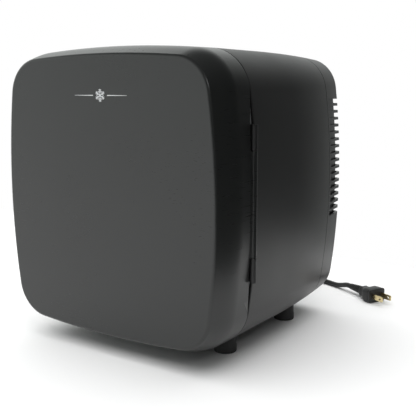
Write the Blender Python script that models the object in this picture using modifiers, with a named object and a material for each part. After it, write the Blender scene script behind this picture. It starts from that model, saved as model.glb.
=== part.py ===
"""Portable thermoelectric mini fridge: cabinet, side-hung door, cooling stack, rear services and mains lead.

Metres, +Z up. The door faces -Y and its hinge is on the +X side. The origin is on the standing
surface under the middle of the cabinet. "Depth" is always measured back from the door's face.
"""

import math

import bmesh
import bpy
from mathutils import Matrix, Vector

# Overall form
WIDTH = 0.264
HEIGHT = 0.275
DEPTH = 0.252
SIDE_BOW = 0.014
TOP_BOW = 0.008
CORNER_RADIUS = 0.043
FOOT_HEIGHT = 0.012
WALL = 0.0025
CLEARANCE = 0.0004
SIDE_STEPS = 3
CORNER_STEPS = 5
TOP_STEPS = 3

# Door
DOOR_DEPTH = 0.0505
SEAM_GAP = 0.0008
FACE_INSET = 0.0108
FACE_ROLL = 0.0036
ROLL_TURN = math.radians(70)
SHOULDER_STEPS = 5
ROLL_STEPS = 4
CREST_DEPTH = 0.030
CREST_INSET = 0.0003
RELIEF_MARGIN = 0.00085
RELIEF_ANGLE = math.radians(40)
FLANGE_DEPTH = 0.0440
FLANGE_THICKNESS = 0.0023
PLUG_REACH = 0.0600
PLUG_MARGIN = 0.004
GASKET_WIDTH = 0.008
BIN_SIDE_MARGIN = 0.026
BIN_HEIGHT = 0.045
BIN_REACH = 0.026
BIN_WALL = 0.002
BIN_LOW_MARGIN = 0.009
MAGNET_SIZE = Vector((0.008, 0.004, 0.030))
MAGNET_INSET = 0.024

# Hinge
HINGE_INSET = 0.0010
KNUCKLE_RADIUS = 0.0029
KNUCKLE_LENGTH = 0.022
BARREL_HALF = 0.047
KNUCKLE_GAP = 0.0006
PIN_RADIUS = 0.0011
PIN_BORE = 0.0013
PIN_REACH = 0.012
ROOT_REACH = 0.0052
ROOT_SET_BACK = 0.0012
ROOT_TRIM = 0.0008
HINGE_STEPS = 16

# Cabinet
EDGE_LIP = 0.0008
TAPER_AT_REAR = 0.0113
TAPER_TOP_SHARE = 0.35
COVER_REACH = 0.0425
COVER_GAP = 0.0008
REAR_ROLL = 0.009
SIDE_INSULATION = 0.036
TOP_INSULATION = 0.0365
REAR_INSULATION = 0.0267
CABIN_RADIUS = 0.022
LINER_WALL = 0.002
FRAME_THICKNESS = 0.0023
FRAME_GAP = 0.0008
RAIL_DEPTH = 0.004
RAIL_THICKNESS = 0.003
FOAM_INSET = 0.0195
BULKHEAD_THICKNESS = 0.0025
POST_RADIUS = 0.004
POST_SIDE_INSET = 0.040
POST_TOP_INSET = 0.0395
FOOT_RADIUS = 0.011
FOOT_SIDE_INSET = 0.047
FOOT_FRONT_INSET = 0.0237
FOOT_REAR_INSET = 0.059

# Shelf
SHELF_Z = -0.020
SHELF_THICKNESS = 0.004
SHELF_SETBACK = 0.010
SHELF_SIDE_GAP = 0.001
SHELF_SLOTS = 7
SHELF_BORDER = 0.010
SHELF_BAR = 0.0033

# Cooling stack
STACK_LIFT = 0.1
MODULE_HALF = 0.020
MODULE_THICKNESS = 0.0038
STACK_MARGIN = 0.002
COLD_HALF = 0.030
COLD_BASE = 0.005
COLD_FINS = 0.018
COLD_FIN_COUNT = 10
INNER_FAN_HALF = 0.030
INNER_FAN_DEPTH = 0.010
DUCT_HALF = 0.036
DUCT_WALL = 0.002
DUCT_FRONT_GAP = 0.004
DUCT_SLOTS = 6
HOT_HALF_WIDTH = 0.048
HOT_HALF_HEIGHT = 0.040
HOT_BASE = 0.005
HOT_FINS = 0.022
HOT_FIN_COUNT = 16
FIN_SHARE = 0.32
OUTER_FAN_HALF = 0.040
OUTER_FAN_DEPTH = 0.015
FAN_RIM = 0.0025
FAN_HUB_SHARE = 0.42
FAN_SPIDER = 0.002
FAN_TIP_GAP = 0.0012
FAN_BLADES = 7

# Louvres
LOUVRE_PITCH = 0.0074
LOUVRE_SLOT = 0.0036
LOUVRE_BOTTOM = -0.12
LOUVRE_TOP_MARGIN = 0.012
LOUVRE_SETBACK = 0.0055
LOUVRE_WRAP = 0.040
VENT_HALF = 0.036
VENT_COUNT = 9

# Rear services, across the cover's lower part
SERVICE_LIFT = 0.038
INLET_FROM_POST = 0.024
INLET_HALF = Vector((0.0117, 0.0087))
INLET_POCKET = Vector((0.0082, 0.0042))
INLET_POCKET_DEPTH = 0.009
INLET_DEPTH = 0.016
DC_FROM_INLET = 0.034
DC_HALF = Vector((0.0087, 0.0062))
DC_POCKET = Vector((0.0066, 0.0037))
DC_POCKET_DEPTH = 0.008
SWITCH_FROM_DC = 0.032
SWITCH_HALF = Vector((0.0097, 0.0047))
SWITCH_POCKET = Vector((0.0075, 0.0027))
SWITCH_POCKET_DEPTH = 0.006
SWITCH_KNOB = Vector((0.0023, 0.0023))
SWITCH_PROUD = 0.0015
SCREW_HEAD = 0.0030
SCREW_SHANK = 0.0014
SCREW_LENGTH = 0.010
SCREW_SINK = 0.0014
BOARD_LIFT = 0.0121
BOARD_THICKNESS = 0.0016
BOARD_X = (-0.062, 0.038)
BOARD_TOP_GAP = 0.010
BOARD_LOW_GAP = 0.0155
STANDOFF_RADIUS = 0.003
TRANSFORMER_HALF = Vector((0.013, 0.012))
TRANSFORMER_DEPTH = 0.018
TRANSFORMER_X = -0.030
CAPACITOR_RADIUS = 0.006
CAPACITOR_DEPTH = 0.020
CAPACITOR_X = 0.012

# Mains lead
LEAD_RADIUS = 0.003
CONNECTOR_LENGTH = 0.018
CONNECTOR_HALF = Vector((0.0085, 0.0055))
RELIEF_LENGTH = 0.021
COIL_ACROSS = 0.078
COIL_BEHIND = 0.063
COIL_INNER = 0.0237
COIL_OUTER = 0.0423
COIL_LOW = 0.0011
COIL_HIGH = 0.0135
TIE_THICKNESS = 0.0008
TIE_WIDTH = 0.005
GRIP_SIZE = Vector((0.012, 0.014, 0.012))
HEAD_SIZE = Vector((0.016, 0.024, 0.016))
BLADE_SIZE = Vector((0.016, 0.0015, 0.0063))
BLADE_SPACING = 0.0127

# Worked out from the above
MID_Z = FOOT_HEIGHT + HEIGHT / 2
BODY_FRONT = DOOR_DEPTH + SEAM_GAP
TAPER_START = DEPTH / 2
COVER_SEAM = DEPTH - COVER_REACH
FOAM_REAR = COVER_SEAM - FOAM_INSET
CABIN_REAR = FOAM_REAR - REAR_INSULATION
CABIN_HALF_WIDTH = WIDTH / 2 - SIDE_INSULATION
CABIN_HALF_HEIGHT = HEIGHT / 2 - TOP_INSULATION
LINER_REAR = CABIN_REAR + LINER_WALL
BIN_WIDTH = 2 * (CABIN_HALF_WIDTH - BIN_SIDE_MARGIN)
BIN_DROP = CABIN_HALF_HEIGHT - BIN_LOW_MARGIN
MAGNET_OUT = WIDTH / 2 - MAGNET_INSET
SHELF_FRONT = PLUG_REACH + SHELF_SETBACK
FOOT_X = WIDTH / 2 - FOOT_SIDE_INSET
FOOT_DEPTHS = (BODY_FRONT + FOOT_FRONT_INSET, DEPTH - FOOT_REAR_INSET)
POST_X = WIDTH / 2 - POST_SIDE_INSET
POST_Z = HEIGHT / 2 - POST_TOP_INSET
STACK_Z = STACK_LIFT * HEIGHT
BULKHEAD_REAR = FOAM_REAR + CLEARANCE + BULKHEAD_THICKNESS
HOT_FRONT = BULKHEAD_REAR + CLEARANCE
MODULE_FRONT = HOT_FRONT - CLEARANCE - MODULE_THICKNESS
OUTER_FAN_FRONT = HOT_FRONT + HOT_BASE + HOT_FINS + CLEARANCE
COLD_REAR = CABIN_REAR - CLEARANCE
INNER_FAN_FRONT = COLD_REAR - COLD_BASE - COLD_FINS - CLEARANCE - INNER_FAN_DEPTH
DUCT_FRONT = INNER_FAN_FRONT - DUCT_FRONT_GAP - DUCT_WALL
HINGE_X = WIDTH / 2 - HINGE_INSET
HINGE_DEPTH = BODY_FRONT - KNUCKLE_RADIUS - CLEARANCE
RELIEF_REACH = KNUCKLE_RADIUS + RELIEF_MARGIN + (DOOR_DEPTH - HINGE_DEPTH) * math.sin(RELIEF_ANGLE)
RELIEF_DEPTH = HINGE_INSET + RELIEF_REACH / math.cos(RELIEF_ANGLE)
LOUVRE_START = COVER_SEAM + LOUVRE_SETBACK
LOUVRE_LOW = LOUVRE_BOTTOM * HEIGHT
LOUVRE_COUNT = int((POST_Z - LOUVRE_TOP_MARGIN - LOUVRE_LOW) / LOUVRE_PITCH) + 1
SERVICE_Z = SERVICE_LIFT - HEIGHT / 2
INLET_X = INLET_FROM_POST - POST_X
DC_X = INLET_X + DC_FROM_INLET
SWITCH_X = DC_X + SWITCH_FROM_DC
BOARD_DEPTH = BULKHEAD_REAR + BOARD_LIFT
BOARD_Z = (SERVICE_Z + BOARD_LOW_GAP, STACK_Z - HOT_HALF_HEIGHT - BOARD_TOP_GAP)


def at(depth):
    """The Y of a depth behind the door's face."""
    return depth - DEPTH / 2


# Collections, materials and finished objects
for leftover in list(bpy.data.objects):
    bpy.data.objects.remove(leftover)
fridge = bpy.data.collections.new("mini_fridge")
cutters = bpy.data.collections.new("cutters")
cutters.hide_render = True
for group in (fridge, cutters):
    bpy.context.scene.collection.children.link(group)


def material(name, colour, roughness, metallic=0.0):
    """A Principled material."""
    made = bpy.data.materials.new(name)
    made.use_nodes = True
    shader = made.node_tree.nodes["Principled BSDF"]
    shader.inputs["Base Color"].default_value = (*colour, 1)
    shader.inputs["Roughness"].default_value = roughness
    shader.inputs["Metallic"].default_value = metallic
    return made


GREY_LACQUER = material("door_black", (0.035, 0.038, 0.038), 0.32)
BLACK_ABS = material("shell_black", (0.018, 0.018, 0.019), 0.42)
PALE_LINER = material("liner_grey", (0.62, 0.64, 0.66), 0.35)
WHITE_FOAM = material("foam_white", (0.88, 0.88, 0.86), 0.9)
SOFT_SEAL = material("seal_grey", (0.08, 0.08, 0.085), 0.7)
RUBBER = material("rubber_black", (0.02, 0.02, 0.02), 0.75)
STEEL = material("steel", (0.55, 0.55, 0.56), 0.3, 1.0)
ALUMINIUM = material("aluminium", (0.72, 0.73, 0.75), 0.35, 1.0)
FAN_BLACK = material("fan_black", (0.03, 0.03, 0.032), 0.4)
MODULE_WHITE = material("module_white", (0.8, 0.8, 0.78), 0.6)
BOARD_GREEN = material("board_green", (0.03, 0.16, 0.07), 0.5)
COPPER_TAPE = material("transformer_yellow", (0.75, 0.6, 0.15), 0.5)
CAN_BLUE = material("capacitor_blue", (0.03, 0.05, 0.2), 0.35)
LEAD_BLACK = material("lead_black", (0.015, 0.015, 0.015), 0.55)
BRASS = material("blade_brass", (0.75, 0.62, 0.35), 0.3, 1.0)


def finish(obj, look, parent=None):
    """Puts a finished piece in the fridge, with its material, on its parent."""
    for holder in list(obj.users_collection):
        holder.objects.unlink(obj)
    fridge.objects.link(obj)
    obj.data.materials.clear()
    obj.data.materials.append(look)
    if parent is not None:
        obj.parent = parent
        obj.matrix_parent_inverse = parent.matrix_world.inverted()
    return obj


def pivot(name, place):
    """An empty on a moving body's axis."""
    empty = bpy.data.objects.new(name, None)
    empty.location = place
    empty.empty_display_size = 0.02
    fridge.objects.link(empty)
    bpy.context.view_layer.update()
    return empty


def made_object(name, mesh):
    """A new object, kept among the cutters until finish() moves it."""
    obj = bpy.data.objects.new(name, mesh)
    obj.display_type = "WIRE"
    cutters.objects.link(obj)
    return obj


def from_bmesh(name, shape):
    mesh = bpy.data.meshes.new(name)
    bmesh.ops.recalc_face_normals(shape, faces=shape.faces)
    shape.to_mesh(mesh)
    shape.free()
    return made_object(name, mesh)


def boolean(target, tool, operation):
    tool.hide_render = True
    modifier = target.modifiers.new(f"{operation.lower()}_{tool.name}", "BOOLEAN")
    modifier.operation = operation
    modifier.object = tool
    return target


def cut(target, *tools):
    for tool in tools:
        boolean(target, tool, "DIFFERENCE")
    return target


def join(target, *tools):
    for tool in tools:
        boolean(target, tool, "UNION")
    return target


# Shape makers
def block(name, low, high):
    """A box between two corners."""
    return boxes(name, [(low, high)])


def boxes(name, corners):
    """Several separate boxes as one cutter, each between two corners."""
    shape = bmesh.new()
    for low, high in corners:
        low, high = Vector(low), Vector(high)
        place = Matrix.Translation((low + high) / 2) @ Matrix.Diagonal((*(high - low), 1))
        bmesh.ops.create_cube(shape, size=1, matrix=place)
    return from_bmesh(name, shape)


def rod(name, centre, radius, length, turn=Matrix.Identity(4), steps=HINGE_STEPS, end_radius=None):
    """A cylinder or cone about its own Z, turned and then moved to its centre."""
    shape = bmesh.new()
    bmesh.ops.create_cone(
        shape,
        cap_ends=True,
        segments=steps,
        radius1=radius,
        radius2=radius if end_radius is None else end_radius,
        depth=length,
        matrix=Matrix.Translation(centre) @ turn,
    )
    return from_bmesh(name, shape)


ALONG_Y = Matrix.Rotation(-math.pi / 2, 4, "X")


def depth_rod(name, x, z, radius, front, rear, steps=HINGE_STEPS, end_radius=None):
    """A cylinder or cone that runs back from one depth to another."""
    centre = (x, at((front + rear) / 2), MID_Z + z)
    return rod(name, centre, radius, rear - front, ALONG_Y, steps, end_radius)


def meshed(holder):
    """Turns a curve object into a mesh object with its place in its mesh."""
    bpy.context.view_layer.update()
    graph = bpy.context.evaluated_depsgraph_get()
    mesh = bpy.data.meshes.new_from_object(holder.evaluated_get(graph))
    mesh.transform(holder.matrix_world)
    shape = bmesh.new()
    shape.from_mesh(mesh)
    bmesh.ops.remove_doubles(shape, verts=shape.verts, dist=1e-6)
    bmesh.ops.recalc_face_normals(shape, faces=shape.faces)
    shape.to_mesh(mesh)
    shape.free()
    name = holder.name
    curve = holder.data
    bpy.data.objects.remove(holder)
    bpy.data.curves.remove(curve)
    mesh.name = name
    return made_object(name, mesh)


def flat(name, loops, thickness, place):
    """A flat piece from closed outlines: the first is its edge and the others are its holes."""
    curve = bpy.data.curves.new(name, "CURVE")
    curve.dimensions = "2D"
    curve.fill_mode = "BOTH"
    curve.extrude = thickness / 2
    for loop in loops:
        spline = curve.splines.new("POLY")
        spline.points.add(len(loop) - 1)
        spline.use_cyclic_u = True
        for point, (across, up) in zip(spline.points, loop):
            point.co = (across, up, 0, 1)
    holder = bpy.data.objects.new(name, curve)
    cutters.objects.link(holder)
    holder.matrix_world = place
    return meshed(holder)


def plate(name, loops, front, rear, z=0.0, x=0.0):
    """A flat piece that faces the door, from outlines in x and z about a point on the middle height."""
    place = Matrix.Translation((x, at((front + rear) / 2), MID_Z + z)) @ Matrix.Rotation(math.pi / 2, 4, "X")
    return flat(name, loops, rear - front, place)


def slab(name, loops, low, high):
    """A level piece from outlines in x and y, between two heights from the middle."""
    place = Matrix.Translation((0, 0, MID_Z + (low + high) / 2))
    return flat(name, loops, high - low, place)


def loft(name, sections):
    """A closed solid through outlines at rising depths, for forms whose outline changes with depth."""
    shape = bmesh.new()
    rings = [[shape.verts.new((x, at(depth), MID_Z + z)) for x, z in loop] for depth, loop in sections]
    for near, far in zip(rings, rings[1:]):
        count = len(near)
        for i in range(count):
            j = (i + 1) % count
            shape.faces.new((near[i], near[j], far[j], far[i]))
    shape.faces.new(rings[0])
    shape.faces.new(rings[-1])
    return from_bmesh(name, shape)


def arc(centre, radius, start, end, steps):
    """Points on an arc, without its last one."""
    angles = [start + (end - start) * i / steps for i in range(steps)]
    return [(centre[0] + radius * math.cos(a), centre[1] + radius * math.sin(a)) for a in angles]


def rounded(half_width, half_height, radius, steps=4):
    """A rectangle with round corners."""
    loop = []
    for i, (sx, sz) in enumerate(((1, 1), (-1, 1), (-1, -1), (1, -1))):
        centre = (sx * (half_width - radius), sz * (half_height - radius))
        start = i * math.pi / 2
        loop += arc(centre, radius, start, start + math.pi / 2, steps)
        loop.append((centre[0] + radius * math.cos(start + math.pi / 2),
                     centre[1] + radius * math.sin(start + math.pi / 2)))
    return loop


def rectangle(low_x, low_z, high_x, high_z):
    return [(low_x, low_z), (high_x, low_z), (high_x, high_z), (low_x, high_z)]


def outline(inset=0.0):
    """The bowed and round-cornered outline seen from the front, moved inwards by inset.

    Each side is a shallow arc, and each corner arc touches the two that it joins.
    """
    half_width, half_height = WIDTH / 2, HEIGHT / 2
    side_radius = (half_height**2 + SIDE_BOW**2) / (2 * SIDE_BOW)
    top_radius = (half_width**2 + TOP_BOW**2) / (2 * TOP_BOW)
    side_x, top_z = half_width - side_radius, half_height - top_radius
    # The corner's centre is where two circles meet: one about each bow's centre.
    reach_side, reach_top = side_radius - CORNER_RADIUS, top_radius - CORNER_RADIUS
    span = math.hypot(side_x, top_z)
    along = (span**2 + reach_side**2 - reach_top**2) / (2 * span)
    off = math.sqrt(reach_side**2 - along**2)
    towards = Vector((-side_x, top_z)) / span
    corner = Vector((side_x, 0)) + along * towards + off * Vector((-towards.y, towards.x))
    if corner.x < 0 or corner.y < 0:
        corner = Vector((side_x, 0)) + along * towards - off * Vector((-towards.y, towards.x))
    side_end = math.atan2(corner.y, corner.x - side_x)
    top_start = math.atan2(corner.y - top_z, corner.x)
    quarter = arc((side_x, 0), side_radius - inset, 0, side_end, SIDE_STEPS)
    quarter += arc(corner, CORNER_RADIUS - inset, side_end, top_start, CORNER_STEPS)
    quarter += arc((0, top_z), top_radius - inset, top_start, math.pi / 2, TOP_STEPS)
    crown = (0.0, half_height - inset)
    upper = quarter + [crown] + [(-x, z) for x, z in reversed(quarter)]
    return upper + [(x, -z) for x, z in reversed(upper[1:-1])]


# Forms that several pieces follow
def relief_cutter(name, skin, side):
    """Cuts the door's rear edge along a flat upright face, so that it clears the knuckles as it swings.

    side is +1 at the hinge and -1 at the free edge, where the same face is the finger grip.
    """
    normal = Vector((side * math.cos(RELIEF_ANGLE), math.sin(RELIEF_ANGLE), 0))
    foot = Vector((side * (WIDTH / 2 - RELIEF_DEPTH), at(DOOR_DEPTH), MID_Z))
    size = CORNER_RADIUS
    centre = foot + normal * (size / 2 - skin)
    shape = bmesh.new()
    turn = Matrix.Rotation(side * RELIEF_ANGLE, 4, "Z")
    stretch = Matrix.Diagonal((size, 2 * size, 2 * HEIGHT, 1))
    bmesh.ops.create_cube(shape, size=1, matrix=Matrix.Translation(centre) @ turn @ stretch)
    return from_bmesh(name, shape)


def relieved(obj, skin):
    """Cuts both upright reliefs from a door form."""
    return cut(obj, *(relief_cutter(f"{obj.name}_relief_{side:+d}", skin, side) for side in (1, -1)))


def door_form(name, skin, rear):
    """The door's outer form moved inwards by skin, back to the given depth: a tight roll, then a long shoulder."""
    sections = []
    for i in range(ROLL_STEPS + 1):
        turn = ROLL_TURN * i / ROLL_STEPS
        radius = FACE_ROLL - skin
        sections.append((FACE_ROLL - radius * math.cos(turn), FACE_INSET - radius * math.sin(turn)))
    start, inset = sections[-1]
    reach, slope = CREST_DEPTH - start, -1 / math.tan(ROLL_TURN)
    for i in range(1, SHOULDER_STEPS + 1):
        t = i / SHOULDER_STEPS
        rise = (2 * t**3 - 3 * t**2 + 1) * inset + (t**3 - 2 * t**2 + t) * reach * slope
        sections.append((start + reach * t, rise + (3 * t**2 - 2 * t**3) * (skin + CREST_INSET)))
    sections.append((rear, skin))
    return relieved(loft(name, [(depth, outline(inset)) for depth, inset in sections]), skin)


def taper(depth):
    """How far the cabinet has drawn in at a depth."""
    past = max(0.0, depth - TAPER_START) / (DEPTH - TAPER_START)
    return TAPER_AT_REAR * past**2


def drawn_in(depth, inset=0.0):
    """The cabinet's outline at a depth, moved inwards by inset. Its top draws in less than its sides."""
    side = taper(depth)
    stretch = (HEIGHT / 2 - TAPER_TOP_SHARE * side) / (HEIGHT / 2 - side)
    return [(x, z * stretch) for x, z in outline(inset + side)]


def cabinet_form(name, skin, front, rear, lip=0.0):
    """The cabinet's outer form moved inwards by skin, between two depths."""
    sections = [(front, skin + lip)]
    if lip:
        sections.append((front + lip, skin))
    steps = 3
    span = rear - TAPER_START
    sections += [(TAPER_START + span * i / steps, skin) for i in range(steps + 1)]
    return loft(name, [(depth, drawn_in(depth, inset)) for depth, inset in sections])


def cover_form(name, skin, front):
    """The rear cover's outer form moved inwards by skin, from its front depth to its rear face."""
    roll_depth = DEPTH - REAR_ROLL
    radius = REAR_ROLL - skin
    sections = [(front, drawn_in(front, skin))]
    for i in range(ROLL_STEPS + 1):
        turn = math.pi / 2 * i / ROLL_STEPS
        sections.append((roll_depth + radius * math.sin(turn), drawn_in(roll_depth, REAR_ROLL - radius * math.cos(turn))))
    return loft(name, sections)


def cabin_loop(grown):
    """The cabin's rounded opening, grown outwards."""
    return rounded(CABIN_HALF_WIDTH + grown, CABIN_HALF_HEIGHT + grown, CABIN_RADIUS + grown)


def square(half):
    return rectangle(-half, -half, half, half)


# Door
def plug_loop(grown):
    return cabin_loop(grown - PLUG_MARGIN)


def hinge_web(name):
    """The rib that ties the door's barrel to the relieved face beside it."""
    normal = Vector((math.cos(RELIEF_ANGLE), math.sin(RELIEF_ANGLE), 0))
    foot = Vector((WIDTH / 2 - RELIEF_DEPTH, at(DOOR_DEPTH), MID_Z))
    axis = Vector((HINGE_X, at(HINGE_DEPTH), MID_Z))
    reach = (axis - foot).dot(normal) + WALL * 0.8
    turn = Matrix.Rotation(RELIEF_ANGLE, 4, "Z")
    shape = bmesh.new()
    stretch = Matrix.Diagonal((reach, 1.5 * KNUCKLE_RADIUS, 2 * (BARREL_HALF - KNUCKLE_GAP), 1))
    bmesh.ops.create_cube(shape, size=1, matrix=Matrix.Translation(axis - normal * reach / 2) @ turn @ stretch)
    return from_bmesh(name, shape)


def make_door(hinge):
    cavity = door_form("door_cavity", WALL, DOOR_DEPTH + WALL)
    barrel_length = 2 * (BARREL_HALF - KNUCKLE_GAP)
    axis = (HINGE_X, at(HINGE_DEPTH), MID_Z)
    barrel = rod("barrel_form", axis, KNUCKLE_RADIUS, barrel_length)
    bore = rod("barrel_bore", axis, PIN_BORE, 2 * barrel_length)
    shell = cut(door_form("door_shell", 0.0, DOOR_DEPTH), cavity)
    join(shell, hinge_web("barrel_web"), barrel)
    finish(cut(shell, bore), GREY_LACQUER, hinge)

    skin = WALL + CLEARANCE
    flange_front = FLANGE_DEPTH - FLANGE_THICKNESS
    liner = relieved(plate("door_liner", [outline(skin)], flange_front, FLANGE_DEPTH), skin)
    pan = plate("door_pan", [plug_loop(0)], flange_front, PLUG_REACH)
    pan_cavity = plate("door_pan_cavity", [plug_loop(-LINER_WALL)], flange_front - WALL, PLUG_REACH - LINER_WALL)
    finish(cut(join(liner, pan), pan_cavity), PALE_LINER, hinge)

    foam = door_form("door_foam", skin, flange_front - CLEARANCE)
    core_front = flange_front - 2 * WALL
    core = plate("door_core", [plug_loop(-LINER_WALL - CLEARANCE)], core_front, PLUG_REACH - LINER_WALL - CLEARANCE)
    magnet_rear = flange_front - CLEARANCE
    magnet_low = Vector((-MAGNET_OUT - MAGNET_SIZE.x / 2, at(magnet_rear) - MAGNET_SIZE.y, MID_Z - MAGNET_SIZE.z / 2))
    gap = Vector((CLEARANCE, CLEARANCE, CLEARANCE))
    pocket = block("door_magnet_pocket", magnet_low - gap, magnet_low + MAGNET_SIZE + 4 * gap)
    finish(cut(join(foam, core), pocket), WHITE_FOAM, hinge)
    finish(block("door_magnet", magnet_low, magnet_low + MAGNET_SIZE), STEEL, hinge)

    gasket_loops = [cabin_loop(LINER_WALL + GASKET_WIDTH), cabin_loop(LINER_WALL)]
    gasket = plate("door_gasket", gasket_loops, FLANGE_DEPTH + CLEARANCE, BODY_FRONT - CLEARANCE / 2)
    finish(gasket, SOFT_SEAL, hinge)

    low = Vector((-BIN_WIDTH / 2, at(PLUG_REACH + CLEARANCE), MID_Z - BIN_DROP))
    high = low + Vector((BIN_WIDTH, BIN_REACH, BIN_HEIGHT))
    wall = Vector((BIN_WALL, BIN_WALL, BIN_WALL))
    pocket = block("bin_pocket", low + wall, high - wall + Vector((0, 0, BIN_HEIGHT)))
    finish(cut(block("door_bin", low, high), pocket), PALE_LINER, hinge)


# Hinge pins
def make_hinge_pins():
    for name, side in (("hinge_pin_upper", 1), ("hinge_pin_lower", -1)):
        inner = BARREL_HALF - PIN_REACH
        outer = BARREL_HALF + KNUCKLE_LENGTH - KNUCKLE_GAP
        centre = (HINGE_X, at(HINGE_DEPTH), MID_Z + side * (inner + outer) / 2)
        finish(rod(name, centre, PIN_RADIUS, outer - inner), STEEL)


# Cabinet
def knuckle_tools():
    """Each knuckle, its root in the shell's front edge, and its bore."""
    roots, bores = [], []
    for label, side in (("upper", 1), ("lower", -1)):
        middle = MID_Z + side * (BARREL_HALF + KNUCKLE_LENGTH / 2)
        centre = Vector((HINGE_X, at(HINGE_DEPTH), middle))
        roots.append(rod(f"knuckle_{label}", centre, KNUCKLE_RADIUS, KNUCKLE_LENGTH))
        low = centre + Vector((-ROOT_REACH, ROOT_SET_BACK, -KNUCKLE_LENGTH / 2))
        high = Vector((HINGE_X - ROOT_TRIM, at(BODY_FRONT + WALL), middle + KNUCKLE_LENGTH / 2))
        roots.append(block(f"knuckle_root_{label}", low, high))
        bores.append(rod(f"knuckle_bore_{label}", centre, PIN_BORE, 2 * KNUCKLE_LENGTH))
    return roots, bores


def knuckle_notches():
    """Room in the front frame for the knuckles' roots."""
    notches = []
    for label, side in (("upper", 1), ("lower", -1)):
        middle = MID_Z + side * (BARREL_HALF + KNUCKLE_LENGTH / 2)
        reach = KNUCKLE_LENGTH / 2 + CLEARANCE
        low = (HINGE_X - ROOT_REACH - CLEARANCE, at(BODY_FRONT - WALL), middle - reach)
        high = (WIDTH / 2 + WALL, at(BODY_FRONT + 2 * WALL), middle + reach)
        notches.append(block(f"frame_notch_{label}", low, high))
    return notches


def make_cabinet_shell():
    shell = cabinet_form("cabinet_shell", 0.0, BODY_FRONT, COVER_SEAM, EDGE_LIP)
    hollow = cabinet_form("shell_hollow", WALL, BODY_FRONT - WALL, COVER_SEAM + WALL)
    roots, bores = knuckle_tools()
    finish(cut(join(cut(shell, hollow), *roots), *bores), BLACK_ABS)


def stack_opening(name, grown, front, rear):
    """The square way that the cooling stack takes through the rear wall."""
    return plate(name, [square(MODULE_HALF + grown)], front, rear, STACK_Z)


def make_front_frame():
    """The flat collar round the cabin's mouth, which the door's seal meets."""
    front = BODY_FRONT + CLEARANCE / 2
    frame = plate("front_frame", [outline(WALL + FRAME_GAP)], front, front + FRAME_THICKNESS)
    mouth_front, mouth_rear = front - WALL, front + FRAME_THICKNESS + WALL
    mouth = plate("frame_mouth", [cabin_loop(LINER_WALL + CLEARANCE)], mouth_front, mouth_rear)
    finish(cut(frame, mouth, *knuckle_notches()), PALE_LINER)


def make_cabin_liner():
    front = BODY_FRONT + CLEARANCE / 2
    liner = plate("cabin_liner", [cabin_loop(LINER_WALL)], front, LINER_REAR)
    space = plate("cabin_space", [cabin_loop(0)], front - WALL, CABIN_REAR)
    opening = stack_opening("liner_opening", STACK_MARGIN, CABIN_REAR - WALL, LINER_REAR + WALL)
    cut(liner, space, opening)
    rail_top = SHELF_Z - SHELF_THICKNESS / 2 - CLEARANCE
    for label, side in (("left", -1), ("right", 1)):
        edges = sorted((side * (CABIN_HALF_WIDTH - RAIL_DEPTH), side * (CABIN_HALF_WIDTH + LINER_WALL / 2)))
        low = (edges[0], at(SHELF_FRONT), MID_Z + rail_top - RAIL_THICKNESS)
        high = (edges[1], at(CABIN_REAR + LINER_WALL / 2), MID_Z + rail_top)
        join(liner, block(f"shelf_rail_{label}", low, high))
    finish(liner, PALE_LINER)


def make_cabinet_foam():
    front = BODY_FRONT + CLEARANCE / 2 + FRAME_THICKNESS + CLEARANCE
    foam = cabinet_form("cabinet_foam", WALL + CLEARANCE, front, FOAM_REAR)
    tub = plate("foam_tub", [cabin_loop(LINER_WALL + CLEARANCE)], front - WALL, LINER_REAR + CLEARANCE)
    opening = stack_opening("foam_opening", STACK_MARGIN, LINER_REAR, FOAM_REAR + WALL)
    plate_low = Vector((-MAGNET_OUT - MAGNET_SIZE.x / 2, at(front), MID_Z - MAGNET_SIZE.z / 2))
    plate_high = plate_low + Vector((MAGNET_SIZE.x, MAGNET_SIZE.y / 2, MAGNET_SIZE.z))
    gap = Vector((CLEARANCE, CLEARANCE, CLEARANCE))
    pocket = block("striker_pocket", plate_low - 4 * gap, plate_high + gap)
    finish(cut(foam, tub, opening, pocket), WHITE_FOAM)
    finish(block("striker_plate", plate_low, plate_high), STEEL)


def make_bulkhead():
    """The plastic panel that closes the foam and carries the heat sink, the posts and the board."""
    front = FOAM_REAR + CLEARANCE
    panel = plate("rear_bulkhead", [drawn_in(BULKHEAD_REAR, WALL + CLEARANCE)], front, BULKHEAD_REAR)
    cut(panel, stack_opening("bulkhead_opening", STACK_MARGIN, front - WALL, BULKHEAD_REAR + WALL))
    root = BULKHEAD_REAR - BULKHEAD_THICKNESS / 2
    for x, z in post_places():
        join(panel, depth_rod(f"post_{x:+.3f}_{z:+.3f}", x, z, POST_RADIUS, root, DEPTH - WALL - CLEARANCE, 12))
    for x, z in post_places():
        bore_front = DEPTH - WALL - SCREW_LENGTH
        cut(panel, depth_rod(f"post_bore_{x:+.3f}_{z:+.3f}", x, z, SCREW_SHANK + CLEARANCE, bore_front, DEPTH, 12))
    for x in BOARD_X:
        reach = x + math.copysign(2 * STANDOFF_RADIUS, -x)
        z = BOARD_Z[1] - 2 * STANDOFF_RADIUS
        join(panel, depth_rod(f"standoff_{x:+.3f}", reach, z, STANDOFF_RADIUS, root, BOARD_DEPTH - CLEARANCE, 10))
    finish(panel, BLACK_ABS)


def post_places():
    return [(x, z) for x in (-POST_X, POST_X) for z in (-POST_Z, POST_Z)]


def louvre_cutter(name, low_x, high_x, front, rows, middle=None):
    """A bank of level slots through the cover's wall, as separate boxes in one cutter."""
    first = LOUVRE_LOW if middle is None else middle - (rows - 1) * LOUVRE_PITCH / 2
    levels = [MID_Z + first + row * LOUVRE_PITCH for row in range(rows)]
    near, far = at(front), at(DEPTH + WALL)
    spans = [((low_x, near, z - LOUVRE_SLOT / 2), (high_x, far, z + LOUVRE_SLOT / 2)) for z in levels]
    return boxes(name, spans)


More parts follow.
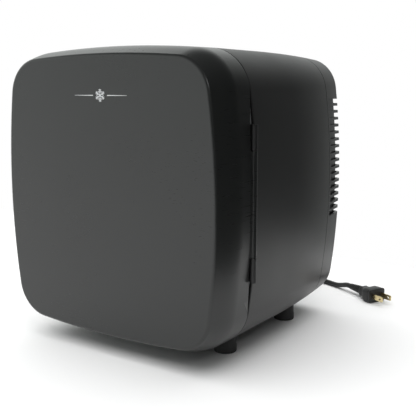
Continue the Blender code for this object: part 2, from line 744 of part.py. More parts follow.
def make_rear_cover():
    cover = cover_form("rear_cover", 0.0, COVER_SEAM + COVER_GAP)
    cut(cover, cover_form("cover_hollow", WALL, COVER_SEAM - WALL))
    inner_edge = WIDTH / 2 - LOUVRE_WRAP
    outer_edge = WIDTH / 2 + WALL
    cut(cover, louvre_cutter("louvres_right", inner_edge, outer_edge, LOUVRE_START, LOUVRE_COUNT))
    cut(cover, louvre_cutter("louvres_left", -outer_edge, -inner_edge, LOUVRE_START, LOUVRE_COUNT))
    cut(cover, louvre_cutter("vent_rear", -VENT_HALF, VENT_HALF, DEPTH - 2 * WALL, VENT_COUNT, STACK_Z))
    windows = (("inlet", INLET_X, INLET_HALF), ("dc", DC_X, DC_HALF), ("switch", SWITCH_X, SWITCH_HALF))
    for label, x, half in windows:
        loop = rectangle(-half.x - CLEARANCE, -half.y - CLEARANCE, half.x + CLEARANCE, half.y + CLEARANCE)
        cut(cover, plate(f"{label}_window", [loop], DEPTH - 2 * WALL, DEPTH + WALL, SERVICE_Z, x))
    for x, z in post_places():
        label = f"{x:+.3f}_{z:+.3f}"
        cut(cover, depth_rod(f"screw_hole_{label}", x, z, SCREW_SHANK + CLEARANCE, DEPTH - 2 * WALL, DEPTH + WALL, 12))
        sink = DEPTH - SCREW_SINK - CLEARANCE
        cut(cover, depth_rod(f"screw_sink_{label}", x, z, SCREW_HEAD + CLEARANCE, sink, DEPTH + WALL, 16))
    finish(cover, BLACK_ABS)


def make_cover_screws():
    """Four pan-head screws, flush in the cover's rear face."""
    profile = [(0, 0), (SCREW_HEAD, 0), (SCREW_HEAD, -SCREW_SINK), (SCREW_SHANK, -SCREW_SINK),
               (SCREW_SHANK, -SCREW_LENGTH), (0, -SCREW_LENGTH - SCREW_SHANK)]
    names = ("cover_screw_left_low", "cover_screw_left_high", "cover_screw_right_low", "cover_screw_right_high")
    for name, (x, z) in zip(names, post_places()):
        mesh = bpy.data.meshes.new(name)
        mesh.from_pydata([(r, 0, h) for r, h in profile], [(i, i + 1) for i in range(len(profile) - 1)], [])
        screw = made_object(name, mesh)
        turn = screw.modifiers.new("turn", "SCREW")
        turn.steps = turn.render_steps = 12
        turn.use_merge_vertices = True
        turn.merge_threshold = 0.00001
        screw.location = (x, at(DEPTH), MID_Z + z)
        screw.rotation_euler = (-math.pi / 2, 0, 0)
        finish(screw, STEEL)


def make_feet():
    ground = [("front", FOOT_DEPTHS[0]), ("rear", FOOT_DEPTHS[1])]
    sides = [("left", -FOOT_X), ("right", FOOT_X)]
    top = FOOT_HEIGHT + CORNER_RADIUS / 4
    for where, depth in ground:
        for side, x in sides:
            name = f"foot_{where}_{side}"
            foot = rod(name, (x, at(depth), top / 2), FOOT_RADIUS, top, steps=20)
            trim = cabinet_form(f"{name}_trim", -CLEARANCE, BODY_FRONT - WALL, COVER_SEAM)
            finish(cut(foot, trim), RUBBER)


# Shelf
def make_shelf():
    half = CABIN_HALF_WIDTH - SHELF_SIDE_GAP
    front, rear = at(SHELF_FRONT), at(CABIN_REAR - SHELF_SIDE_GAP)
    low_z, high_z = MID_Z + SHELF_Z - SHELF_THICKNESS / 2, MID_Z + SHELF_Z + SHELF_THICKNESS / 2
    shelf = block("shelf", (-half, front, low_z), (half, rear, high_z))
    pitch = (rear - front - SHELF_BORDER) / SHELF_SLOTS
    slots = []
    for i in range(SHELF_SLOTS):
        low = front + SHELF_BORDER + i * pitch
        for side in (-1, 1):
            ends = sorted((side * SHELF_BORDER / 2, side * (half - SHELF_BORDER)))
            slots.append(((ends[0], low, low_z - WALL), (ends[1], low + pitch - SHELF_BAR, high_z + WALL)))
    cut(shelf, boxes("shelf_slots", slots))
    finish(shelf, PALE_LINER)


# Cooling stack
def comb(half_width, base_y, base, tip_y, count):
    """A heat sink's section: a base with fins that reach from it to tip_y."""
    towards = 1 if tip_y > base_y else -1
    root = base_y + towards * base
    pitch = 2 * half_width / (count - 1 + FIN_SHARE)
    thickness = pitch * FIN_SHARE
    loop = [(half_width, base_y), (-half_width, base_y)]
    for i in range(count):
        left = -half_width + i * pitch
        loop += [(left, root), (left, tip_y), (left + thickness, tip_y), (left + thickness, root)]
    return loop


def make_cold_side():
    cold_front = COLD_REAR - COLD_BASE - COLD_FINS
    loop = comb(COLD_HALF, at(COLD_REAR), COLD_BASE, at(cold_front), COLD_FIN_COUNT)
    finish(slab("cold_sink", [loop], STACK_Z - COLD_HALF, STACK_Z + COLD_HALF), ALUMINIUM)
    duct = plate("duct_cover", [square(DUCT_HALF)], DUCT_FRONT, COLD_REAR, STACK_Z)
    hollow = plate("duct_hollow", [square(DUCT_HALF - DUCT_WALL)], DUCT_FRONT + DUCT_WALL, COLD_REAR + WALL, STACK_Z)
    window = block(
        "duct_window",
        (-COLD_HALF / 2, at(cold_front), MID_Z + STACK_Z - 2 * DUCT_HALF),
        (COLD_HALF / 2, at(COLD_REAR - COLD_BASE), MID_Z + STACK_Z + 2 * DUCT_HALF),
    )
    finish(cut(duct, hollow, window, duct_slots()), PALE_LINER)


def duct_slots():
    """Level slots in the duct cover's front, ahead of the fan."""
    half = INNER_FAN_HALF - FAN_RIM
    pitch = 2 * half / DUCT_SLOTS
    middles = [MID_Z + STACK_Z - half + (i + 0.5) * pitch for i in range(DUCT_SLOTS)]
    front, rear = at(DUCT_FRONT - DUCT_WALL), at(DUCT_FRONT + 2 * DUCT_WALL)
    return boxes("duct_slots", [((-half, front, z - pitch / 3), (half, rear, z + pitch / 3)) for z in middles])


def make_module():
    spacer_front = CABIN_REAR
    half = Vector((MODULE_HALF, 0, MODULE_HALF))
    centre = Vector((0, 0, MID_Z + STACK_Z))
    low = centre - half + Vector((0, at(spacer_front), 0))
    high = centre + half + Vector((0, at(MODULE_FRONT - CLEARANCE), 0))
    finish(block("spacer_block", low, high), ALUMINIUM)
    low = centre - half + Vector((0, at(MODULE_FRONT), 0))
    high = centre + half + Vector((0, at(MODULE_FRONT + MODULE_THICKNESS), 0))
    finish(block("peltier_module", low, high), MODULE_WHITE)


def make_hot_side():
    loop = comb(HOT_HALF_WIDTH, at(HOT_FRONT), HOT_BASE, at(HOT_FRONT + HOT_BASE + HOT_FINS), HOT_FIN_COUNT)
    finish(slab("hot_sink", [loop], STACK_Z - HOT_HALF_HEIGHT, STACK_Z + HOT_HALF_HEIGHT), ALUMINIUM)


def make_fan(label, half, front, depth):
    """A square axial fan: a ducted frame with a four-armed spider, and a bladed rotor ahead of it."""
    bore = half - FAN_RIM
    hub = bore * FAN_HUB_SHARE
    rear = front + depth
    frame = plate(f"{label}_fan_frame", [rounded(half, half, FAN_RIM)], front, rear, STACK_Z)
    cut(frame, depth_rod(f"{label}_fan_bore", 0, STACK_Z, bore, front - WALL, rear + WALL, 32))
    spider_front, spider_rear = at(rear - FAN_SPIDER), at(rear - FAN_SPIDER / 4)
    hub_front, hub_rear = rear - 1.125 * FAN_SPIDER, rear - FAN_SPIDER / 8
    join(frame, depth_rod(f"{label}_fan_plate", 0, STACK_Z, hub, hub_front, hub_rear, 20))
    arms = []
    for side in (-1, 1):
        ends = sorted((side * hub * 0.7, side * (bore + FAN_RIM / 2)))
        thick = FAN_RIM / 2
        middle = MID_Z + STACK_Z
        arms.append(((ends[0], spider_front, middle - thick), (ends[1], spider_rear, middle + thick)))
        arms.append(((-thick, spider_front, middle + ends[0]), (thick, spider_rear, middle + ends[1])))
    join(frame, boxes(f"{label}_fan_arms", arms))
    finish(frame, FAN_BLACK)
    axis = pivot(f"{label}_fan_axis", (0, at(front), MID_Z + STACK_Z))
    tip = bore - FAN_TIP_GAP
    vanes = []
    for i in range(FAN_BLADES):
        start = 2 * math.pi * i / FAN_BLADES
        width = 2 * math.pi / FAN_BLADES
        vanes += arc((0, 0), hub, start, start + 0.35 * width, 1)
        vanes += arc((0, 0), tip, start + 0.30 * width, start + 0.95 * width, 3)
        vanes += arc((0, 0), hub, start + 0.85 * width, start + width, 1)
    rotor_rear = rear - FAN_SPIDER - FAN_TIP_GAP
    finish(plate(f"{label}_fan_rotor", [vanes], front + FAN_TIP_GAP, rotor_rear, STACK_Z), FAN_BLACK, axis)


# Rear services
def socket(name, x, half, pocket, pocket_depth):
    """An inlet's body, flush in the cover's window, with its pocket open to the rear."""
    front = DEPTH - INLET_DEPTH
    body = plate(name, [rectangle(-half.x, -half.y, half.x, half.y)], front, DEPTH, SERVICE_Z, x)
    loop = rounded(pocket.x, pocket.y, pocket.y * 0.9)
    return cut(body, plate(f"{name}_pocket", [loop], DEPTH - pocket_depth, DEPTH + WALL, SERVICE_Z, x))


def make_services():
    finish(socket("ac_inlet", INLET_X, INLET_HALF, INLET_POCKET, INLET_POCKET_DEPTH), FAN_BLACK)
    finish(socket("dc_inlet", DC_X, DC_HALF, DC_POCKET, DC_POCKET_DEPTH), FAN_BLACK)
    finish(socket("switch_housing", SWITCH_X, SWITCH_HALF, SWITCH_POCKET, SWITCH_POCKET_DEPTH), FAN_BLACK)
    loop = rectangle(-SWITCH_KNOB.x, -SWITCH_KNOB.y, SWITCH_KNOB.x, SWITCH_KNOB.y)
    knob_front = DEPTH - SWITCH_POCKET_DEPTH + CLEARANCE
    finish(plate("switch_slider", [loop], knob_front, DEPTH + SWITCH_PROUD, SERVICE_Z, SWITCH_X), RUBBER)


def make_power_supply():
    low_x, high_x = BOARD_X
    low_z, high_z = BOARD_Z
    board_rear = BOARD_DEPTH + BOARD_THICKNESS
    finish(plate("power_board", [rectangle(low_x, low_z, high_x, high_z)], BOARD_DEPTH, board_rear), BOARD_GREEN)
    base = board_rear + CLEARANCE
    middle = (low_z + high_z) / 2
    half = TRANSFORMER_HALF
    core = rectangle(-half.x, -half.y, half.x, half.y)
    transformer = plate("transformer", [core], base, base + TRANSFORMER_DEPTH, middle, TRANSFORMER_X)
    finish(transformer, COPPER_TAPE)
    can_rear = base + CAPACITOR_DEPTH
    finish(depth_rod("smoothing_capacitor", CAPACITOR_X, middle, CAPACITOR_RADIUS, base, can_rear), CAN_BLUE)


# Mains lead
def smooth_path(route, step):
    """Points at even steps on one smooth curve through the route's own points."""
    points = [Vector(p) for p in route]
    ends = [2 * points[0] - points[1], *points, 2 * points[-1] - points[-2]]
    fine = []
    for before, start, end, after in zip(ends, ends[1:], ends[2:], ends[3:]):
        for i in range(16):
            t = i / 16
            fine.append(
                0.5 * (2 * start + (end - before) * t + (2 * before - 5 * start + 4 * end - after) * t**2
                       + (3 * start - before - 3 * end + after) * t**3)
            )
    fine.append(points[-1])
    path, run = [fine[0]], 0.0
    for start, end in zip(fine, fine[1:]):
        run += (end - start).length
        if run >= step:
            path.append(end)
            run = 0.0
    path[-1] = fine[-1]
    return path


def lead(name, route):
    """A stretch of the mains lead."""
    curve = bpy.data.curves.new(name, "CURVE")
    curve.dimensions = "3D"
    curve.bevel_depth = LEAD_RADIUS
    curve.bevel_resolution = 2
    curve.use_fill_caps = True
    path = smooth_path(route, 2.5 * LEAD_RADIUS)
    spline = curve.splines.new("POLY")
    spline.points.add(len(path) - 1)
    for point, place in zip(spline.points, path):
        point.co = (*place, 1)
    holder = bpy.data.objects.new(name, curve)
    cutters.objects.link(holder)
    finish(meshed(holder), LEAD_BLACK)


def behind(across, back, z):
    """A point measured across from the mains inlet and back from the rear face, at a height."""
    return Vector((INLET_X + across, DEPTH / 2 + back, z))


INLET_Z = MID_Z + SERVICE_Z
RELIEF_END = CONNECTOR_LENGTH + RELIEF_LENGTH + CLEARANCE
LEAD_FROM_FRIDGE = [
    behind(0.0, RELIEF_END + CLEARANCE, INLET_Z),
    behind(0.0000, 0.0500, 0.0495),
    behind(0.0005, 0.0620, 0.0450),
    behind(0.0020, 0.0730, 0.0355),
    behind(0.0050, 0.0820, 0.0235),
    behind(0.0095, 0.0900, 0.0125),
    behind(0.0160, 0.0965, 0.0055),
    behind(0.0245, 0.1012, 0.0033),
    behind(0.0350, 0.1036, 0.0032),
    behind(0.0460, 0.1044, 0.0036),
    behind(0.0560, 0.1042, 0.0040),
]
LEAD_TO_PLUG = [
    behind(0.1015, 0.1018, 0.0078),
    behind(0.1130, 0.0990, 0.0055),
    behind(0.1260, 0.0950, 0.0037),
    behind(0.1390, 0.0905, 0.0032),
    behind(0.1510, 0.0858, 0.0034),
    behind(0.1605, 0.0815, 0.0056),
    behind(0.1675, 0.0781, 0.0077),
    behind(0.1737, 0.0750, 0.0080),
]
PLUG_START = behind(0.1743, 0.07465, 0.0080)
PLUG_AIM = Vector((0.894, -0.447, 0.0)).normalized()


def on_plug(along, across=0.0, up=0.0):
    """A point in the plug's own frame, which runs along the aim from the relief's thin end."""
    side = Vector((-PLUG_AIM.y, PLUG_AIM.x, 0))
    return PLUG_START + PLUG_AIM * along + side * across + Vector((0, 0, up))


def plug_block(name, along, size, across=0.0):
    """A box in the plug's frame that starts at a distance along it."""
    turn = Matrix.Rotation(math.atan2(PLUG_AIM.y, PLUG_AIM.x), 4, "Z")
    shape = bmesh.new()
    place = Matrix.Translation(on_plug(along + size.x / 2, across)) @ turn @ Matrix.Diagonal((*size, 1))
    bmesh.ops.create_cube(shape, size=1, matrix=place)
    return from_bmesh(name, shape)


def make_plug():
    turn = Matrix.Rotation(math.atan2(PLUG_AIM.y, PLUG_AIM.x), 4, "Z") @ Matrix.Rotation(math.pi / 2, 4, "Y")
    relief = rod("plug_relief", on_plug(RELIEF_LENGTH / 2), LEAD_RADIUS * 1.15, RELIEF_LENGTH, turn,
                 end_radius=LEAD_RADIUS * 1.7)
    finish(relief, LEAD_BLACK)
    grip_start = RELIEF_LENGTH + CLEARANCE
    grip = plug_block("mains_plug", grip_start, GRIP_SIZE)
    head_start = grip_start + GRIP_SIZE.x - WALL
    finish(join(grip, plug_block("plug_head", head_start, HEAD_SIZE)), LEAD_BLACK)
    blade_start = head_start + HEAD_SIZE.x + CLEARANCE
    for label, side in (("left", 1), ("right", -1)):
        blade = plug_block(f"plug_blade_{label}", blade_start, BLADE_SIZE, side * BLADE_SPACING / 2)
        finish(blade, BRASS)


def make_connector():
    """The lead's figure-eight connector, pushed into the inlet."""
    nose = INLET_POCKET - Vector((CLEARANCE, CLEARANCE))
    rear = DEPTH + CONNECTOR_LENGTH
    nose_front = DEPTH - INLET_POCKET_DEPTH + CLEARANCE
    body = plate("mains_connector", [rounded(CONNECTOR_HALF.x, CONNECTOR_HALF.y, 0.003)],
                 DEPTH + CLEARANCE, rear, SERVICE_Z, INLET_X)
    tip = plate("connector_nose", [rounded(nose.x, nose.y, nose.y * 0.9)], nose_front, DEPTH + 2 * WALL,
                SERVICE_Z, INLET_X)
    finish(join(body, tip), LEAD_BLACK)
    start = rear + CLEARANCE
    relief = depth_rod("connector_relief", INLET_X, SERVICE_Z, LEAD_RADIUS * 1.7, start, start + RELIEF_LENGTH,
                       end_radius=LEAD_RADIUS * 1.15)
    finish(relief, LEAD_BLACK)


def make_coil():
    """The stored turns as one turned ring, and the band that ties them."""
    profile = [(COIL_INNER, COIL_HIGH), (COIL_OUTER, COIL_HIGH), (COIL_OUTER, COIL_LOW), (COIL_INNER, COIL_LOW)]
    mesh = bpy.data.meshes.new("lead_coil")
    mesh.from_pydata([(r, 0, z) for r, z in profile], [(0, 1), (1, 2), (2, 3), (3, 0)], [])
    coil = made_object("lead_coil", mesh)
    turn = coil.modifiers.new("turn", "SCREW")
    turn.steps = turn.render_steps = 40
    turn.use_merge_vertices = True
    turn.merge_threshold = 0.00001
    coil.location = behind(COIL_ACROSS, COIL_BEHIND, 0)
    finish(coil, LEAD_BLACK)

    gap = CLEARANCE - TIE_THICKNESS / 8
    inner = rectangle(COIL_INNER - gap, COIL_LOW - gap, COIL_OUTER + gap, COIL_HIGH + gap)
    grown = gap + TIE_THICKNESS
    outer = rectangle(COIL_INNER - grown, max(0.0, COIL_LOW - grown), COIL_OUTER + grown, COIL_HIGH + grown)
    loops = [[(-x, z) for x, z in loop] for loop in (outer, inner)]
    place = Matrix.Translation(behind(COIL_ACROSS, COIL_BEHIND, 0)) @ Matrix.Rotation(math.pi / 2, 4, "X")
    finish(flat("lead_tie", loops, TIE_WIDTH, place), RUBBER)


door_hinge = pivot("door_hinge", (HINGE_X, at(HINGE_DEPTH), MID_Z))
make_door(door_hinge)
make_hinge_pins()
make_cabinet_shell()
make_front_frame()
make_cabin_liner()
make_cabinet_foam()
make_bulkhead()
make_rear_cover()
make_cover_screws()
make_feet()
make_shelf()
make_cold_side()
make_fan("inner", INNER_FAN_HALF, INNER_FAN_FRONT, INNER_FAN_DEPTH)
make_module()
make_hot_side()
make_fan("outer", OUTER_FAN_HALF, OUTER_FAN_FRONT, OUTER_FAN_DEPTH)
make_services()
make_power_supply()
make_connector()
lead("lead_from_fridge", LEAD_FROM_FRIDGE)
make_coil()
lead("lead_to_plug", LEAD_TO_PLUG)
make_plug()
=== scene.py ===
"""A portable mini fridge in satin black: bowed cabinet, side-hung door, cooling works behind and a mains lead.

Metres, +Z up. The door faces -Y and hangs on the +X side. The fridge stands on the floor at z = 0.
"Depth" is measured back from the door's face, and "skin" is how far a form lies inside the outer surface.
"""

import math

import bmesh
import bpy
from mathutils import Matrix, Vector


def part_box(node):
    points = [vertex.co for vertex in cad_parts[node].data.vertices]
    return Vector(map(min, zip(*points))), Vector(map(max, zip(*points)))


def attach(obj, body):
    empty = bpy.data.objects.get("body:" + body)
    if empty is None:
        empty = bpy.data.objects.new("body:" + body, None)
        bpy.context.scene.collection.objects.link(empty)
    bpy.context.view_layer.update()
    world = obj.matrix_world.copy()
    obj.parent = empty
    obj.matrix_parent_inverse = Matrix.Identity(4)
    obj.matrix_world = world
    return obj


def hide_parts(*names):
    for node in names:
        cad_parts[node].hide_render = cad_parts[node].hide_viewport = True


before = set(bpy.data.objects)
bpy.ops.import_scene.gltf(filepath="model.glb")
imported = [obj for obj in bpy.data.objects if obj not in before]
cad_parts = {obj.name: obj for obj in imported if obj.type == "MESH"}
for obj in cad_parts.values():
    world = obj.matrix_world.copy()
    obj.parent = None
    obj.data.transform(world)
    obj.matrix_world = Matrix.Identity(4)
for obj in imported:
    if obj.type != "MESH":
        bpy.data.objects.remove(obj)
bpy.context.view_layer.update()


# ------------ Studio
# A plain pale floor that runs out into a white surround. A broad soft light hangs overhead, the left and the back
# are bright and the right is dim, so that black mouldings keep their depth. A small light catches the door's roll.
def op(group, kind, inputs=None, **settings):
    """Adds a node to a tree, with its sockets set or linked, and returns its outputs."""
    made = group.nodes.new(kind)
    for key, value in settings.items():
        setattr(made, key, value)
    for key, value in (inputs or {}).items():
        if isinstance(value, bpy.types.NodeSocket):
            group.links.new(value, made.inputs[key])
        else:
            made.inputs[key].default_value = value
    return made.outputs


def maths(tree, operation, first, second):
    """One sum in a tree."""
    return op(tree, "ShaderNodeMath", {0: first, 1: second}, operation=operation)["Value"]


def ranged(tree, value, start, end, low=0.0, high=1.0, **settings):
    """A value that runs from low to high while another runs from start to end."""
    return op(tree, "ShaderNodeMapRange", {"Value": value, "From Min": start, "From Max": end,
                                           "To Min": low, "To Max": high}, **settings)["Result"]


CLOUD_SPAN, RUB_SPAN = (0.3, 0.7), (0.60, 0.72)


def surface(name, colour, roughness, metallic=0.0, tint=0.25, patch=40.0, swing=0.08, grain=0.00003,
            grain_size=2500.0, stretch=(1, 1, 1), marks=0.0, **sockets):
    """A moulded or milled finish: patchy tone and gloss, a fine grain that lifts the surface, and faint rub marks."""
    made = bpy.data.materials.new(name)
    made.use_nodes = True
    made.diffuse_color = (*colour, 1)
    tree = made.node_tree
    shader = tree.nodes["Principled BSDF"]
    shader.inputs["Metallic"].default_value = metallic
    for key, value in sockets.items():
        shader.inputs[key.replace("_", " ")].default_value = value
    place = op(tree, "ShaderNodeTexCoord")["Object"]
    spread = op(tree, "ShaderNodeMapping", {"Vector": place, "Scale": stretch})["Vector"]
    cloud = op(tree, "ShaderNodeTexNoise", {"Vector": spread, "Scale": patch, "Detail": 5.0, "Roughness": 0.6})
    fine = op(tree, "ShaderNodeTexNoise", {"Vector": spread, "Scale": grain_size, "Detail": 2.0})
    low = tuple(c * (1 - tint) for c in colour)
    high = tuple(min(1.0, c * (1 + tint)) for c in colour)
    tone = op(tree, "ShaderNodeMix", {"Factor": cloud["Fac"], "A": (*low, 1), "B": (*high, 1)}, data_type="RGBA")
    tree.links.new(tone["Result"], shader.inputs["Base Color"])
    rough = ranged(tree, cloud["Fac"], *CLOUD_SPAN, roughness - swing / 2, roughness + swing / 2)
    if marks:
        slant = op(tree, "ShaderNodeMapping", {"Vector": place, "Rotation": (0.3, 0.5, 0.7), "Scale": (9, 1, 60)})
        streak = op(tree, "ShaderNodeTexNoise", {"Vector": slant["Vector"], "Scale": 22.0, "Detail": 3.0})["Fac"]
        rough = maths(tree, "SUBTRACT", rough, ranged(tree, streak, *RUB_SPAN, 0.0, marks))
    tree.links.new(rough, shader.inputs["Roughness"])
    bump = op(tree, "ShaderNodeBump", {"Strength": 0.6, "Distance": grain, "Height": fine["Fac"]})
    tree.links.new(bump["Normal"], shader.inputs["Normal"])
    return made


def linked(name, mesh):
    """A new object for a mesh or curve, in the scene at the origin."""
    made = bpy.data.objects.new(name, mesh)
    bpy.context.scene.collection.objects.link(made)
    return made


FLOOR_FAR, FLOOR_RIGHT, FLOOR_BACK = -2.6, 0.34, 0.36
floor_mesh = bpy.data.meshes.new("floor")
floor_mesh.from_pydata([(FLOOR_FAR, FLOOR_FAR, 0), (FLOOR_RIGHT, FLOOR_FAR, 0), (FLOOR_RIGHT, FLOOR_BACK, 0),
                        (FLOOR_FAR, FLOOR_BACK, 0)], [], [(0, 1, 2, 3)])
floor = linked("floor", floor_mesh)
floor_mesh.materials.append(surface("pale_floor", (0.93, 0.93, 0.93), 0.8, tint=0.01, patch=3, grain=0.0))

world = bpy.data.worlds.new("studio")
world.use_nodes = True
bpy.context.scene.world = world
sky = world.node_tree
sky.nodes.clear()
facing = op(sky, "ShaderNodeTexCoord")["Generated"]
leftness = op(sky, "ShaderNodeVectorMath", {0: facing, 1: (-1.0, 0.10, 0.0)}, operation="DOT_PRODUCT")["Value"]
height = op(sky, "ShaderNodeSeparateXYZ", {"Vector": facing})["Z"]
SIDE_SPAN, SIDE_GLOW = (-0.42, 0.40), (0.02, 1.15)
TOP_SPAN, TOP_GLOW = (0.45, 0.80), (1.0, 0.05)
falloff = ranged(sky, leftness, *SIDE_SPAN, *SIDE_GLOW, interpolation_type="SMOOTHSTEP")
dimmed = ranged(sky, height, *TOP_SPAN, *TOP_GLOW, interpolation_type="SMOOTHSTEP")
glow = maths(sky, "MULTIPLY", falloff, dimmed)
around = op(sky, "ShaderNodeBackground", {"Color": (0.965, 1.0, 0.98, 1), "Strength": glow})["Background"]
surround = op(sky, "ShaderNodeBackground", {"Color": (1, 1, 1, 1), "Strength": 1.0})["Background"]
seen = op(sky, "ShaderNodeLightPath")["Is Camera Ray"]
shown = op(sky, "ShaderNodeMixShader", {0: seen, 1: around, 2: surround})["Shader"]
op(sky, "ShaderNodeOutputWorld", {"Surface": shown})


def lamp(name, light, place, aim):
    """Hangs a light at a place, pointed at an aim."""
    hung = linked(name, light)
    hung.location = place
    hung.rotation_mode = "QUATERNION"
    hung.rotation_quaternion = (Vector(aim) - Vector(place)).to_track_quat("-Z", "Y")
    return hung


overhead = bpy.data.lights.new("overhead", "SUN")
overhead.energy, overhead.angle = 3.6, math.radians(95)
lamp("overhead", overhead, (-0.25, -0.15, 2.0), (0, 0, 0)).visible_glossy = False
roll_light = bpy.data.lights.new("roll_light", "AREA")
roll_light.size, roll_light.energy = 0.30, 2.2
lamp("roll_light", roll_light, (1.15, -0.95, 1.00), (0.12, -0.10, 0.24))

EYE = (0.4370, -0.5955, 0.2485)
EYE_TURN, EYE_DROP = math.radians(34.354), math.radians(9.598)
EYE_LENS = 61.14
camera_data = bpy.data.cameras.new("camera")
camera_data.lens, camera_data.sensor_width = EYE_LENS, 36.0
camera_data.clip_start, camera_data.clip_end = 0.01, 50.0
camera = linked("camera", camera_data)
camera.location = EYE
level = math.cos(EYE_DROP)
ahead = Vector((-math.sin(EYE_TURN) * level, math.cos(EYE_TURN) * level, -math.sin(EYE_DROP)))
camera.rotation_mode = "QUATERNION"
camera.rotation_quaternion = ahead.to_track_quat("-Z", "Y")
bpy.context.scene.camera = camera
bpy.context.scene.view_settings.view_transform = "Standard"


# ------------ Mains lead
# A round black lead 1.5 m long. It drops from its connector at the rear, its spare length lies in two layers of
# three turns held by a band, and it ends in a flat two-pin plug.
REAR_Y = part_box("rear_cover")[1].y
INLET_X = -0.068
INLET_Z = 0.050
LEAD_RADIUS = 0.003
LEAD_STEP = 0.0022
COIL_CENTRE = Vector((INLET_X + 0.078, REAR_Y + 0.063, 0))
COIL_COLUMNS = (0.0392, 0.0330, 0.0268)
COIL_ROWS = (0.0041, 0.0103)
COIL_STEPS = 48


def behind(across, back, z):
    """A point measured across from the mains inlet and back from the rear face, at a height."""
    return Vector((INLET_X + across, REAR_Y + back, z))


def eased(value, start, end):
    """Rises smoothly from 0 to 1 between two values."""
    t = min(1.0, max(0.0, (value - start) / (end - start)))
    return t * t * (3 - 2 * t)


def coil_point(turns):
    """A point on the stored turns: in along the floor, up a layer, and out again on top."""
    whole = min(5, int(turns))
    part = turns - whole
    outward, rise, inward = eased(part, 0.55, 0.68), eased(part, 0.69, 0.83), eased(part, 0.84, 0.97)
    if whole < 2:
        radius = COIL_COLUMNS[whole] + (COIL_COLUMNS[whole + 1] - COIL_COLUMNS[whole]) * inward
        z = COIL_ROWS[0]
    elif whole == 2:
        radius = COIL_COLUMNS[2]
        z = COIL_ROWS[0] + (COIL_ROWS[1] - COIL_ROWS[0]) * rise
    else:
        column = 5 - whole
        radius = COIL_COLUMNS[column] + (COIL_COLUMNS[max(0, column - 1)] - COIL_COLUMNS[column]) * outward
        z = COIL_ROWS[1]
    angle = 2 * math.pi * turns
    return COIL_CENTRE + Vector((radius * math.sin(angle), radius * math.cos(angle), z))


DROP = ((0.0000, 0.0401, 0.0500), (0.0000, 0.0500, 0.0495), (0.0005, 0.0620, 0.0450), (0.0020, 0.0730, 0.0355),
        (0.0050, 0.0820, 0.0235), (0.0095, 0.0900, 0.0125), (0.0160, 0.0965, 0.0055), (0.0245, 0.1012, 0.0033),
        (0.0350, 0.1036, 0.0032), (0.0460, 0.1044, 0.0036), (0.0560, 0.1042, 0.0040), (0.0670, 0.1032, 0.0041))
RUN_OUT = ((0.0860, 0.1027, 0.0100), (0.0935, 0.1027, 0.0091), (0.1015, 0.1018, 0.0078), (0.1130, 0.0990, 0.0055),
           (0.1260, 0.0950, 0.0037), (0.1390, 0.0905, 0.0032), (0.1510, 0.0858, 0.0034), (0.1605, 0.0815, 0.0056),
           (0.1675, 0.0781, 0.0077), (0.1737, 0.0750, 0.0080), (0.1743, 0.07465, 0.0080))
PLUG_START = behind(*RUN_OUT[-1])
lead_route = [behind(*place) for place in DROP]
lead_route += [coil_point(i / COIL_STEPS) for i in range(1, 6 * COIL_STEPS)]
lead_route += [behind(*place) for place in RUN_OUT]


def smooth(route, step):
    """Points a step apart on a smooth curve through a route."""
    ends = [2 * route[0] - route[1], *route, 2 * route[-1] - route[-2]]
    fine = []
    for before, start, end, after in zip(ends, ends[1:], ends[2:], ends[3:]):
        for t in (i / 8 for i in range(8)):
            fine.append(0.5 * (2 * start + (end - before) * t + (2 * before - 5 * start + 4 * end - after) * t**2
                               + (3 * start - before - 3 * end + after) * t**3))
    path, run = [route[0]], 0.0
    for start, end in zip(fine, fine[1:]):
        run += (end - start).length
        if run >= step:
            path.append(end)
            run = 0.0
    path.append(route[-1])
    return path


lead_rubber = surface("lead_rubber", (0.012, 0.012, 0.012), 0.5, tint=0.3, patch=120, grain=0.00004)
lead_path = smooth(lead_route, LEAD_STEP)
lead_curve = bpy.data.curves.new("mains_lead", "CURVE")
lead_curve.dimensions = "3D"
lead_curve.bevel_depth = LEAD_RADIUS
lead_curve.bevel_resolution = 4
lead_curve.use_fill_caps = True
lead_line = lead_curve.splines.new("POLY")
lead_line.points.add(len(lead_path) - 1)
for point, place in zip(lead_line.points, lead_path):
    point.co = (*place, 1)
lead_curve.materials.append(lead_rubber)
mains_lead = linked("mains_lead", lead_curve)
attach(mains_lead, "cabinet")
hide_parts("lead_from_fridge", "lead_coil", "lead_to_plug")


# ------------ Connector, plug and tie
# Both ends of the lead are moulded on in soft black PVC, with a ribbed sleeve where the lead leaves. The plug has
# two flat brass blades with a hole in each. A flat rubber band holds the turns.
def new_piece(name, shape):
    """An object from a bmesh, with doubles merged and faces turned outwards."""
    bmesh.ops.remove_doubles(shape, verts=shape.verts, dist=1e-7)
    bmesh.ops.recalc_face_normals(shape, faces=shape.faces)
    mesh = bpy.data.meshes.new(name)
    shape.to_mesh(mesh)
    shape.free()
    return linked(name, mesh)


def loft(name, rings, closed=False):
    """A solid through rings of equal count. A closed one joins its last ring to its first and has no caps."""
    shape = bmesh.new()
    made = [[shape.verts.new(point) for point in ring] for ring in rings]
    pairs = list(zip(made, made[1:])) + ([(made[-1], made[0])] if closed else [])
    for near, far in pairs:
        for i in range(len(near)):
            j = (i + 1) % len(near)
            shape.faces.new((near[i], near[j], far[j], far[i]))
    if not closed:
        shape.faces.new(made[0])
        shape.faces.new(made[-1])
    return new_piece(name, shape)


def rounded(half_across, half_up, radius, steps=8):
    """A rectangle with round corners, as pairs."""
    radius = min(radius, half_across - 1e-5, half_up - 1e-5)
    loop = []
    for i, (side, top) in enumerate(((1, 1), (-1, 1), (-1, -1), (1, -1))):
        for k in range(steps + 1):
            angle = math.pi / 2 * (i + k / steps)
            loop.append((side * (half_across - radius) + radius * math.cos(angle),
                         top * (half_up - radius) + radius * math.sin(angle)))
    return loop


